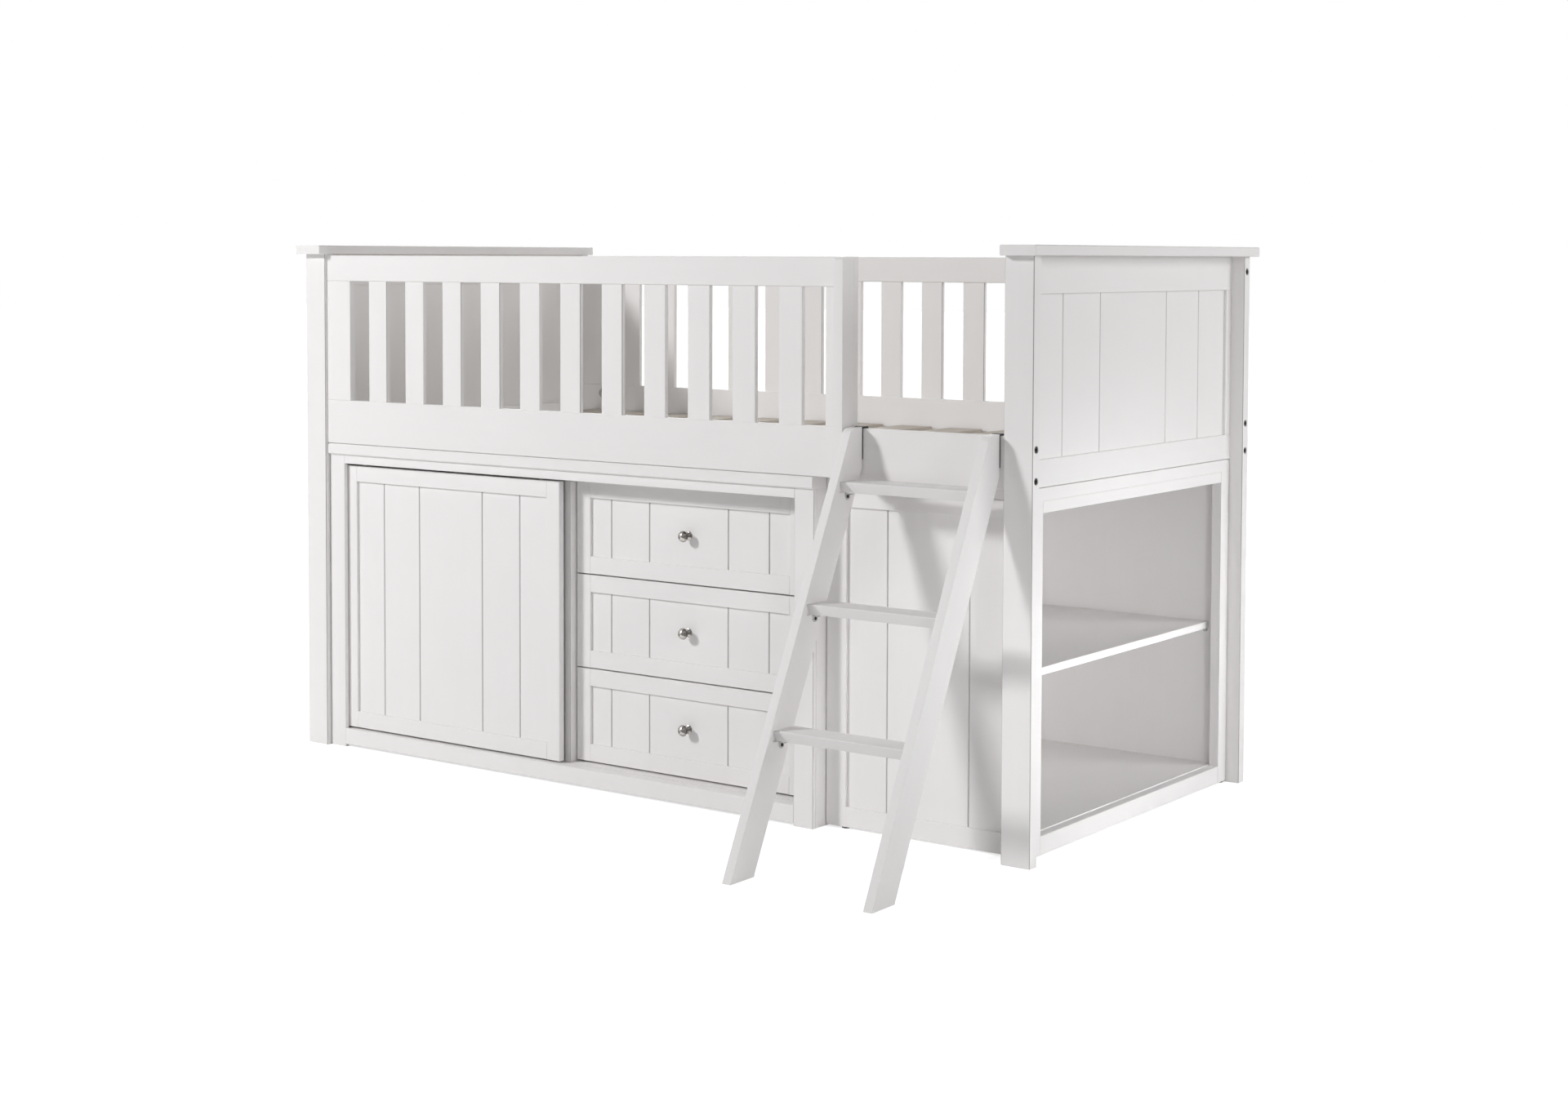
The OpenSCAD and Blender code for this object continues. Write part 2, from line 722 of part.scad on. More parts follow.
module base_slats() {
    clear = bed_length - 2 * end_inner - base_slats * base_slat_w;
    gap = clear / (base_slats + 1);
    z = rail_bottom + ledger_h;
    y = rail_back + base_slat_gap;
    color(pine) row_frame() for (i = [0:base_slats - 1]) {
        x = end_inner + gap + i * (base_slat_w + gap);
        board_y([x, y, z], [x + base_slat_w, bed_width - y, z + base_slat_t]);
    }
}

// The corners of the bed with the number of bolts in each
bolt_corners = [
    [false, false, 3], [false, true, 3], [true, false, 2], [true, true, 3]
];

module bolt(z) {
    bore_x(bolt_head_d, head_sink, head_sink + bolt_head_t, rail_mid, z);
    bore_x(bolt_d, head_sink, pocket_x - 1, rail_mid, z);
}

// A crescent washer against the pocket's wall and a hexagon nut behind it
module bolt_nut(z) {
    seat = pocket_x - pocket_d / 5;
    nut_l = 5;
    difference() {
        bore_y(pocket_d - 2 * glue_line, pocket_x, pocket_floor + bore_gap, rail_back - 1, z);
        block([seat, rail_set_back, z - pocket_d], [pocket_x + pocket_d, rail_back, z + pocket_d]);
        bore_x(bolt_d + bore_gap, post_w, pocket_x, rail_mid, z);
    }
    difference() {
        translate([seat + glue_line, rail_mid, z]) rotate([0, 90, 0])
            cylinder(d = nut_corners, h = nut_l, $fn = 6);
        bore_x(bolt_d + bore_gap, post_w, pocket_x + pocket_d, rail_mid, z);
    }
}

module rail_bolts() {
    color(dark_steel) row_frame() for (c = bolt_corners)
        at_corner(c[0], c[1]) for (i = [0:c[2] - 1]) bolt(bolt_heights[i]);
}

module rail_nuts() {
    color(dark_steel) row_frame() for (c = bolt_corners)
        at_corner(c[0], c[1]) for (i = [0:c[2] - 1]) bolt_nut(bolt_heights[i]);
}

// ---------- Ladder ----------

// Outline of a stile: level foot, level top with a rounded front corner, and a
// vertical back where it meets the hook plate
module ladder_outline() {
    centre_z = rail_top - ladder_top_r;
    centre_y = ladder_front_y(centre_z) + ladder_top_r / cos(ladder_lean);
    turn = 90 - ladder_lean;
    steps = 8;
    corner = [for (i = [0:steps]) let (a = 90 + turn * i / steps)
        [centre_y + ladder_top_r * cos(a), centre_z + ladder_top_r * sin(a)]];
    meet_z = (ladder_back + ladder_reach - ladder_stile_d) / ladder_slope;
    polygon(concat(
        [[-ladder_reach, 0], [ladder_stile_d - ladder_reach, 0],
         [ladder_back, meet_z], [ladder_back, rail_top]],
        corner
    ));
}

tread_arris = 2;     // along a tread's top front edge
housing_behind = 8;  // how far a tread's housing is cut on past the stile's back

// Outline of a tread: its front face leans back, its back edge is flush with the stiles'
module tread_outline(level, grow = 0, lead = 0) {
    top = tread_top(level);
    low = top - tread_t;
    front = ladder_front_y(top) + tread_set_back;
    nose = lead > 0 ? [[front - lead, low], [front - lead, top]]
        : [[front + tread_undercut, low], [front, top - tread_arris], [front + tread_arris, top]];
    polygon(concat(nose, [[ladder_back_y(top) + grow, top], [ladder_back_y(low) + grow, low]]));
}

// Extrudes an outline in the Y-Z plane from x0 to x1
module across(x0, x1) {
    translate([x0, 0, 0]) rotate([90, 0, 90]) linear_extrude(x1 - x0) children();
}

module ladder_stile(right) {
    x0 = ladder_left + (right ? ladder_stile_t + ladder_inner_w : 0);
    inner = right ? x0 : x0 + ladder_stile_t;
    color(white_paint) row_frame() difference() {
        across(x0, x0 + ladder_stile_t) ladder_outline();
        for (level = [0:2])
            across(inner - tread_housing, inner + tread_housing)
                tread_outline(level, housing_behind, housing_lead);
    }
}

module ladder_tread(level) {
    x0 = ladder_left + ladder_stile_t;
    color(white_paint) row_frame()
        across(x0 - tread_housing, x0 + ladder_inner_w + tread_housing) tread_outline(level);
}

// A steel strip bent over the side rail: a plate behind the stile and a lip behind the rail
module hook(x0) {
    lip_front = rail_back + slide_gap;
    across(x0, x0 + ladder_stile_t) {
        translate([ladder_back, rail_top - hook_plate_h]) square([hook_t, hook_plate_h + hook_t]);
        translate([ladder_back, rail_top]) square([lip_front + hook_t - ladder_back, hook_t]);
        translate([lip_front, rail_top - hook_lip_h]) square([hook_t, hook_lip_h + hook_t]);
    }
}

module ladder_hooks() {
    color(dark_steel) row_frame() {
        hook(ladder_left);
        hook(ladder_left + ladder_stile_t + ladder_inner_w);
    }
}

bracket_gap = 2;  // from a tread's lower front edge to its brackets

// An angle bracket in the corner under a tread, against the left stile
module tread_bracket(level) {
    low = tread_top(level) - tread_t;
    y = ladder_front_y(tread_top(level)) + tread_set_back + tread_undercut + bracket_gap;
    x = ladder_left + ladder_stile_t;
    translate([x, y, low - bracket_leg]) cube([bracket_t, bracket_w, bracket_leg]);
    translate([x, y, low - bracket_t]) cube([bracket_leg, bracket_w, bracket_t]);
}

module ladder_brackets() {
    middle = ladder_left + ladder_stile_t + ladder_inner_w / 2;
    color(grey_steel) row_frame() for (level = [0:2]) {
        tread_bracket(level);
        translate([2 * middle, 0, 0]) mirror([1, 0, 0]) tread_bracket(level);
    }
}

// ---------- Cabinet ----------

// The top, with the groove for the door's upper guides
module cabinet_top() {
    front = cabinet_set_back - case_top_overhang;
    color(white_paint) row_frame() difference() {
        board_x([cabinet_left, front, case_top_under],
                [cabinet_right, cabinet_back_y, cabinet_top_z], top_arris);
        block([cabinet_left + case_t, door_mid - top_track_w / 2, case_top_under - 1],
              [cabinet_right - case_t, door_mid + top_track_w / 2, case_top_under + track_depth]);
    }
}

// Bores for the shelf pins in a side, along X
module pin_bores(x0, x1, ys, z) {
    for (y = ys) bore_x(pin_d + bore_gap, x0, x1, y, z);
}

pin_inset = 40;  // from a shelf's front and back edge to its pins
cabinet_pin_ys = [drawer_face + pin_inset, carcass_back - pin_inset];
cabinet_pin_z = cabinet_shelf_z - shelf_t - pin_d / 2;

module cabinet_side(right) {
    x0 = right ? cabinet_right - case_t : cabinet_left;
    color(white_paint) row_frame() difference() {
        block([x0, face_back, 0], [x0 + case_t, carcass_back, case_top_under]);
        if (!right) pin_bores(x0 + case_t - pin_l - 1, x0 + case_t + 1, cabinet_pin_ys,
                              cabinet_pin_z);
    }
}

module cabinet_divider() {
    color(white_paint) row_frame() difference() {
        board_z([divider_left, divider_front, floor_z],
                [divider_left + case_t, carcass_back, case_top_under], fine_arris);
        pin_bores(divider_left - 1, divider_left + pin_l + 1, cabinet_pin_ys, cabinet_pin_z);
    }
}

module cabinet_bay_liner() {
    color(white_paint) row_frame()
        board_z([bay_right, drawer_face, floor_z],
                [bay_right + case_t, carcass_back, case_top_under], fine_arris);
}

// The floor, with a narrow groove behind the door for its lower guides
module cabinet_floor() {
    color(white_paint) row_frame() difference() {
        block([cabinet_left + case_t, face_back, floor_z - case_t],
              [cabinet_right - case_t, carcass_back, floor_z]);
        block([cabinet_left, lower_track, floor_z - track_depth],
              [cabinet_right, lower_track_back, floor_z + 1]);
    }
}

module cabinet_back() {
    color(white_paint) row_frame()
        block([cabinet_left, carcass_back, fascia_gap],
              [cabinet_right, cabinet_back_y, case_top_under]);
}

module cabinet_face_frame() {
    rail_x0 = cabinet_left + face_stile_w + glue_line;
    rail_x1 = cabinet_right - face_stile_w - glue_line;
    y0 = cabinet_set_back;
    color(white_paint) row_frame() {
        for (x = [cabinet_left, cabinet_right - face_stile_w])
            board_z([x, y0, 0], [x + face_stile_w, face_back, case_top_under],
                    fine_arris);
        board_x([rail_x0, y0, fascia_under], [rail_x1, face_back, case_top_under], fine_arris);
        board_x([rail_x0, y0, fascia_gap], [rail_x1, face_back, floor_z], fine_arris);
    }
}

module cabinet_shelf() {
    color(white_paint) row_frame()
        board_x([cabinet_left + case_t + shelf_gap, drawer_face, cabinet_shelf_z - shelf_t],
                [divider_left - shelf_gap, carcass_back - shelf_gap, cabinet_shelf_z],
                fine_arris);
}

bookcase_pin_inset = 33;  // from the bookcase's left face to its back pins
bookcase_pin_xs = [
    bookcase_left + bookcase_pin_inset,
    bookcase_inner_right - bookcase_shelf_set_back - pin_d
];
bookcase_pin_z = bookcase_shelf_z - shelf_t - pin_d / 2;

// Pins under the shelf of the cabinet and under the shelf of the bookcase
module shelf_pins() {
    left = cabinet_left + case_t;
    front = bookcase_front + bookcase_t;
    back = bookcase_far - bookcase_t;
    color(grey_steel) row_frame() {
        for (y = cabinet_pin_ys) {
            bore_x(pin_d, left - pin_l, left + pin_l, y, cabinet_pin_z);
            bore_x(pin_d, divider_left - pin_l, divider_left + pin_l, y, cabinet_pin_z);
        }
        for (x = bookcase_pin_xs) {
            bore_y(pin_d, x, front - pin_l, front + pin_l, bookcase_pin_z);
            bore_y(pin_d, x, back - pin_l, back + pin_l, bookcase_pin_z);
        }
    }
}

// ---------- Sliding door ----------

// Moves a panel to the door's place
module at_door() {
    translate([door_left, door_front, door_bottom]) children();
}

module door_frame() {
    color(white_paint) row_frame() at_door()
        stile_frame(door_w, door_h, door_t, thin_board_t, door_bar_w, door_bar_w, door_bar_w,
                    door_bar_w);
}

module door_boards() {
    color(white_paint) row_frame() at_door() translate([door_bar_w, 0, door_bar_w])
        panel_boards(door_w - 2 * door_bar_w, door_h - 2 * door_bar_w, thin_board_t,
                     [door_outer_board_w, door_inner_board_w]);
}

// Nylon angles behind the door, with a fin that carries it in the floor's groove, and pins
// above the door that run in the top's groove
module door_guides() {
    angle_l = 50;
    angle_h = 20;
    angle_lift = 3;
    angle_z = door_bottom + angle_lift;
    track_floor = floor_z - track_depth;
    door_top = door_bottom + door_h;
    pin_top_gap = 2;
    fin_back = lower_track_back - slide_gap;
    color(nylon) row_frame()
        for (x = [door_left + guide_inset, door_left + door_w - guide_inset]) {
            block([x - angle_l / 2, door_back, angle_z],
                  [x + angle_l / 2, fin_back, angle_z + angle_h]);
            block([x - angle_l / 2, lower_track + slide_gap, track_floor + slide_gap],
                  [x + angle_l / 2, fin_back, angle_z + 1]);
            translate([x, door_mid, door_top])
                cylinder(d = top_track_w - 2 * slide_gap,
                         h = case_top_under + track_depth - pin_top_gap - door_top);
        }
}

// ---------- Drawers ----------
// level 0 is the bottom drawer, 2 the top one

// Moves a panel to the place of a drawer's front
module at_drawer(level) {
    translate([drawer_left, drawer_face, drawer_bottom(level)]) children();
}

module drawer_front(level) {
    color(white_paint) row_frame() at_drawer(level) {
        stile_frame(drawer_w, drawer_h, drawer_front_t, thin_board_t, drawer_stile_w,
                    drawer_rail_h, drawer_rail_h, drawer_stile_w);
        translate([drawer_stile_w, 0, drawer_rail_h])
            panel_boards(drawer_w - 2 * drawer_stile_w, drawer_h - 2 * drawer_rail_h,
                         thin_board_t, [drawer_outer_board_w, drawer_inner_board_w]);
    }
}

bottom_lift = 8;   // from a box's lower edge to the groove of its bottom
runner_web = 2;    // wood left behind a runner's groove
runner_lead = 4;   // from the drawer fronts to the runners
batten_air = 1;    // between a batten and the bottom of its groove
batten_lead = 10;  // from a drawer's front to its battens

// The box: two sides with a batten on each, a back, and a bottom held in grooves
module drawer_box(level) {
    z0 = drawer_bottom(level) + box_lift;
    z1 = z0 + box_h;
    x1 = box_left + box_w;
    y1 = box_front + box_d;
    groove_z = z0 + bottom_lift;
    batten_x = runner_t + 2 * bore_gap - runner_web - batten_air;
    middle = z0 - box_lift + batten_z;
    hold = box_t / 2;
    color(pine) row_frame() {
        for (right = [false, true]) {
            x = right ? x1 - box_t : box_left;
            b = right ? x1 : box_left - batten_x;
            difference() {
                union() {
                    block([x, box_front, z0], [x + box_t, y1, z1]);
                    block([b, box_front + batten_lead, middle - batten_h / 2],
                          [b + batten_x, y1, middle + batten_h / 2]);
                }
                block([box_left + hold, box_front - 1, groove_z],
                      [x1 - hold, y1 + 1, groove_z + box_bottom_t]);
            }
        }
        block([box_left + box_t + glue_line, y1 - box_t, groove_z + box_bottom_t + glue_line],
              [x1 - box_t - glue_line, y1, z1]);
        block([box_left + hold + glue_line, box_front + glue_line, groove_z + glue_line],
              [x1 - hold - glue_line, y1, groove_z + box_bottom_t - glue_line]);
    }
}

// A turned knob: a rose on the board, a waist and a domed head
module drawer_knob(level) {
    head_r = knob_d / 2;
    rose_r = head_r * 0.8;
    waist_r = head_r * 0.42;
    rose_t = 3;
    head_t = knob_l * 0.45;
    shoulder = knob_l - head_t;
    dome = 10;
    profile = concat(
        [[0, 0], [rose_r, 0], [rose_r, rose_t - 1], [rose_r - 1, rose_t], [waist_r + 2, rose_t + 1],
         [waist_r, rose_t + 4], [waist_r, shoulder - 3], [head_r * 0.85, shoulder]],
        [for (i = [0:dome]) let (a = 90 * i / dome)
            [head_r * cos(a), shoulder + 3 + (head_t - 3) * sin(a)]]
    );
    color(nickel) row_frame()
        translate([drawer_left + drawer_w / 2, knob_board_y + glue_line,
                   drawer_bottom(level) + drawer_h / 2])
            rotate([90, 0, 0]) rotate_extrude() polygon(profile);
}

// Grooved strips on the divider and the bay's liner in which the drawers' battens slide
module drawer_runners() {
    color(pine) row_frame() for (level = [0:2]) {
        middle = drawer_bottom(level) + batten_z;
        groove = batten_h / 2 + slide_gap;
        groove_d = runner_t - runner_web + 1;
        for (right = [false, true]) {
            x0 = right ? bay_right - runner_t : bay_left;
            g0 = right ? x0 - 1 : x0 + runner_web;
            difference() {
                block([x0, box_front + runner_lead, middle - runner_h / 2],
                      [x0 + runner_t, box_front + box_d, middle + runner_h / 2]);
                block([g0, box_front, middle - groove],
                      [g0 + groove_d, box_front + box_d + 1, middle + groove]);
            }
        }
    }
}

// ---------- Bookcase ----------

module bookcase_top() {
    color(white_paint) row_frame()
        board_x([bookcase_left, bookcase_front, bookcase_under],
                [bookcase_right, bookcase_far, cabinet_top_z], top_arris);
}

// The side that faces the room: a frame filled with tongue and groove boards
module bookcase_front_side() {
    h = bookcase_under - glide_h;
    right_stile_w = side_stile_w - bookcase_t;
    opening_w = bookcase_side_w - side_stile_w - right_stile_w;
    opening_h = h - side_top_rail_h - side_bottom_rail_h;
    color(white_paint) row_frame() difference() {
        translate([bookcase_left, bookcase_front, glide_h]) {
            stile_frame(bookcase_side_w, h, bookcase_t, thick_board_t, side_stile_w,
                        side_top_rail_h, side_bottom_rail_h, right_stile_w);
            translate([side_stile_w, 0, side_bottom_rail_h])
                panel_boards(opening_w, opening_h, thick_board_t, [side_outer_board_w]);
        }
        for (x = bookcase_pin_xs)
            bore_y(pin_d + bore_gap, x, bookcase_front + bookcase_t - pin_l - 1,
                   bookcase_front + bookcase_t + 1, bookcase_pin_z);
    }
}

module bookcase_back_side() {
    color(white_paint) row_frame() difference() {
        block([bookcase_left, bookcase_far - bookcase_t, glide_h],
              [bookcase_inner_right, bookcase_far, bookcase_under]);
        for (x = bookcase_pin_xs)
            bore_y(pin_d + bore_gap, x, bookcase_far - bookcase_t - 1,
                   bookcase_far - bookcase_t + pin_l + 1, bookcase_pin_z);
    }
}

module bookcase_floor() {
    color(white_paint) row_frame()
        block([bookcase_inner_left, bookcase_front + bookcase_t, floor_z - case_t],
              [bookcase_inner_right, bookcase_far - bookcase_t, floor_z]);
}

module bookcase_back() {
    color(white_paint) row_frame()
        block([bookcase_left, bookcase_front + bookcase_t, glide_h],
              [bookcase_inner_left, bookcase_far - bookcase_t, bookcase_under]);
}

module bookcase_shelf() {
    color(white_paint) row_frame()
        board_y([bookcase_inner_left + shelf_gap, bookcase_front + bookcase_t + shelf_gap,
                 bookcase_shelf_z - shelf_t],
                [bookcase_inner_right - bookcase_shelf_set_back,
                 bookcase_far - bookcase_t - shelf_gap, bookcase_shelf_z], fine_arris);
}

module bookcase_face_frame() {
    rail_y0 = bookcase_front + open_stile_w + glue_line;
    rail_y1 = bookcase_far - open_stile_w - glue_line;
    x0 = bookcase_inner_right;
    x1 = bookcase_right;
    color(white_paint) row_frame() {
        for (y = [bookcase_front, bookcase_far - open_stile_w])
            board_z([x0, y, glide_h], [x1, y + open_stile_w, bookcase_under], fine_arris);
        board_y([x0, rail_y0, bookcase_under - open_top_rail_h],
                [x1, rail_y1, bookcase_under], fine_arris);
        board_y([x0, rail_y0, glide_h], [x1, rail_y1, floor_z - open_rail_drop], fine_arris);
    }
}

// Round glides under the corners of the bookcase
module bookcase_glides() {
    glide_r = bookcase_t / 2 - 1;
    color(dark_steel) row_frame()
        for (x = [bookcase_left + 2 * bookcase_t, bookcase_inner_right + bookcase_t / 2])
            for (y = [bookcase_front + bookcase_t / 2, bookcase_far - bookcase_t / 2])
                translate([x, y, 0]) rotate_extrude()
                    polygon([[0, 0], [glide_r - 1, 0], [glide_r, 1], [glide_r, glide_h],
                             [0, glide_h]]);
}

// ---------- The nodes ----------

post(false, false, 3);  // left_front_post
post(false, true, 3);  // left_back_post
post(true, false, 2);  // right_front_post
post(true, true, 3);  // right_back_post
cap(false);  // left_cap
cap(true);  // right_cap
end_frame(false);  // left_end_frame
end_boards(false);  // left_end_boards
end_frame(true);  // right_end_frame
end_boards(true);  // right_end_boards
side_rail(false);  // front_side_rail
side_rail(true);  // back_side_rail
guard_rail(false, guard_end, false);  // guard_top_rail
guard_stiles();
guard_slats();
guard_end_plank();
guard_rail(true, right_post_inner, true);  // back_guard_top_rail
back_guard_slats();
ledgers();
base_slats();
rail_bolts();
rail_nuts();
ladder_stile(false);  // ladder_left_stile
ladder_stile(true);  // ladder_right_stile
ladder_tread(0);  // ladder_low_tread
ladder_tread(1);  // ladder_middle_tread
ladder_tread(2);  // ladder_top_tread
ladder_hooks();
ladder_brackets();
cabinet_top();
cabinet_side(false);  // cabinet_left_side
cabinet_side(true);  // cabinet_right_side
cabinet_divider();
cabinet_bay_liner();
cabinet_floor();
cabinet_back();
cabinet_face_frame();
cabinet_shelf();
shelf_pins();
door_frame();
door_boards();
door_guides();
drawer_front(0);  // drawer_bottom_front
drawer_box(0);  // drawer_bottom_box
drawer_knob(0);  // drawer_bottom_knob
drawer_front(1);  // drawer_middle_front
drawer_box(1);  // drawer_middle_box
drawer_knob(1);  // drawer_middle_knob
drawer_front(2);  // drawer_top_front
drawer_box(2);  // drawer_top_box
drawer_knob(2);  // drawer_top_knob
drawer_runners();
bookcase_top();
bookcase_front_side();
bookcase_back_side();
bookcase_floor();
bookcase_back();
bookcase_shelf();
bookcase_face_frame();
bookcase_glides();
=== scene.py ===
import json
import math
import random

import bmesh
import bpy
from mathutils import Matrix, Vector


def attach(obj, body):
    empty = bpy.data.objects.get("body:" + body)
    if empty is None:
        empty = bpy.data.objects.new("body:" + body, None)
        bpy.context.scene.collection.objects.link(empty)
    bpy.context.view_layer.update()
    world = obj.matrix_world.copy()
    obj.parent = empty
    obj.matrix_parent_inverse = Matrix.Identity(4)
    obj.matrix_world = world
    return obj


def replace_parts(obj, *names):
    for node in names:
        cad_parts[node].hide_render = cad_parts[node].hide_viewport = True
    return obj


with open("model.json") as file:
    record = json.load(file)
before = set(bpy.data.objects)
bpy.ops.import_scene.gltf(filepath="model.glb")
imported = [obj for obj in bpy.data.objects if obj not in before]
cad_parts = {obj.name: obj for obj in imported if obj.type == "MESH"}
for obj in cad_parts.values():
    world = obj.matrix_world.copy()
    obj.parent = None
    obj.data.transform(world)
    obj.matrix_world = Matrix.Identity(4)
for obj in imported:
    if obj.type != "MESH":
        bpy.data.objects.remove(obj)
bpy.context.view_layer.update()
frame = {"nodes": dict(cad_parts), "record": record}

# The cabin bed in its finish: white satin paint on the boards, bare pine for the slats, the
# drawer boxes and the runners, turned nickel knobs, dark bolts, zinc brackets and black hooks.
# Metres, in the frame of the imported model: X along the bed, Y from front to back, Z up.

MM = 0.001
ACROSS, BACK, UP = Vector((1, 0, 0)), Vector((0, 1, 0)), Vector((0, 0, 1))

# ---------- The camera ----------

PHOTO_W, PHOTO_H = 1920, 1361
FOCAL_PX = 2876.3           # focal length, in pixels of the photograph
CENTRE_PX = (953.6, 450.0)  # where the lens looks straight ahead, in pixels of the photograph
CAMERA_AT = Vector((3.2474, -4.1775, 1.1771))
CAMERA_YAW = 36.072         # degrees, to the left of straight back
CAMERA_PITCH = -2.666       # degrees, upwards
CAMERA_ROLL = 0.176         # degrees, the picture's right side up
SENSOR_W = 36.0             # millimetres


def place_camera():
    """The camera of the photograph, at the height of the bed's caps, looking past the right
    front corner. Most of the way down to the bed's middle is the lens's shift, which keeps the
    posts upright in the picture; the rest is its tilt."""
    lens = bpy.data.cameras.new("photo_camera")
    lens.sensor_width = SENSOR_W
    lens.lens = FOCAL_PX * SENSOR_W / PHOTO_W
    lens.shift_x = (PHOTO_W / 2 - CENTRE_PX[0]) / PHOTO_W
    lens.shift_y = (CENTRE_PX[1] - PHOTO_H / 2) / PHOTO_W
    camera = bpy.data.objects.new("photo_camera", lens)
    camera.matrix_world = (Matrix.Translation(CAMERA_AT)
                           @ Matrix.Rotation(math.radians(CAMERA_YAW), 4, "Z")
                           @ Matrix.Rotation(math.radians(90 + CAMERA_PITCH), 4, "X")
                           @ Matrix.Rotation(math.radians(CAMERA_ROLL), 4, "Z"))
    bpy.context.scene.collection.objects.link(camera)
    bpy.context.scene.camera = camera


# ---------- Node helpers ----------

WHITE = (1.0, 1.0, 1.0, 1.0)
NODE_STEP = (220, -260)        # from one node to the next in the editor, along and down a row
ROW_OF_NODES = 12
COLOUR_A, COLOUR_B, COLOUR_OUT = 6, 7, 2  # the Mix node's sockets for two colours


def add(tree, kind, inputs=None, **settings):
    """One shader node. An input is a value or another node's output."""
    node = tree.nodes.new("ShaderNode" + kind)
    for key, value in settings.items():
        setattr(node, key, value)
    for key, value in (inputs or {}).items():
        if isinstance(value, bpy.types.NodeSocket):
            tree.links.new(value, node.inputs[key])
        else:
            node.inputs[key].default_value = value
    row, column = divmod(len(tree.nodes), ROW_OF_NODES)
    node.location = (NODE_STEP[0] * column, NODE_STEP[1] * row)
    return node


def maths(tree, operation, a, b=0.0, clamp=False):
    return add(tree, "Math", {0: a, 1: b}, operation=operation, use_clamp=clamp).outputs[0]


def blend_colours(tree, share, a, b):
    mix = add(tree, "Mix", {0: share, COLOUR_A: a, COLOUR_B: b}, data_type="RGBA")
    return mix.outputs[COLOUR_OUT]


def spread(tree, value, low, high, to_low=0.0, to_high=1.0):
    """Maps a value's range from low..high to another range, without going past it."""
    inputs = {0: value, 1: low, 2: high, 3: to_low, 4: to_high}
    return add(tree, "MapRange", inputs, clamp=True).outputs[0]


def noise(tree, place, stretch, scale, detail=2.0, roughness=0.5):
    """Noise over a place on a board: its repeats per metre are the stretch, along and across the
    board, times the scale."""
    scaled = add(tree, "VectorMath", {0: place, 1: (*stretch, 1.0)}, operation="MULTIPLY")
    inputs = {"Vector": scaled.outputs[0], "Scale": scale, "Detail": detail,
              "Roughness": roughness}
    return add(tree, "TexNoise", inputs, noise_dimensions="3D").outputs[0]


def new_group(name, inputs, outputs):
    """An empty shader node group with named sockets, and its input and output node."""
    tree = bpy.data.node_groups.new(name, "ShaderNodeTree")
    for label, kind, value in inputs:
        socket = tree.interface.new_socket(label, in_out="INPUT", socket_type="NodeSocket" + kind)
        if value is not None:
            socket.default_value = value
    for label, kind in outputs:
        tree.interface.new_socket(label, in_out="OUTPUT", socket_type="NodeSocket" + kind)
    return tree, tree.nodes.new("NodeGroupInput"), tree.nodes.new("NodeGroupOutput")


def finish_group(tree, outlet, results):
    """Joins a group's results to its outputs."""
    for label, value in results.items():
        tree.links.new(value, outlet.inputs[label])
    return tree


# ---------- Effects that several finishes share ----------

EVEN = (1.0, 1.0)              # a noise that is as fine along a board as across it
PAINTED_GRAIN = (3.0, 90.0)    # the grain that shows through paint, per metre along and across
SANDING_LINES = (60.0, 1400.0)
ORANGE_PEEL = 620.0            # per metre
TONE_DRIFT, TONE_STRETCH = 5.0, (1.0, 1.6)
RUB_MARKS = 60.0
GRAIN_SHADE = 0.10             # the most that the grain, the drift and a board's own tone darken
DRIFT_SHADE = 0.18
BOARD_SHADE = 0.20
THIN_SHARE = 0.4               # how far the thin film shows on a rounded edge
JOINT_PAINTED_SHADE = 0.85             # how far the bottom of a joint is darkened by painted shade
PAINT_ROUGHNESS = 0.55
SANDING_ROUGHNESS = 0.05
RUBBED_ROUGHNESS = 0.08


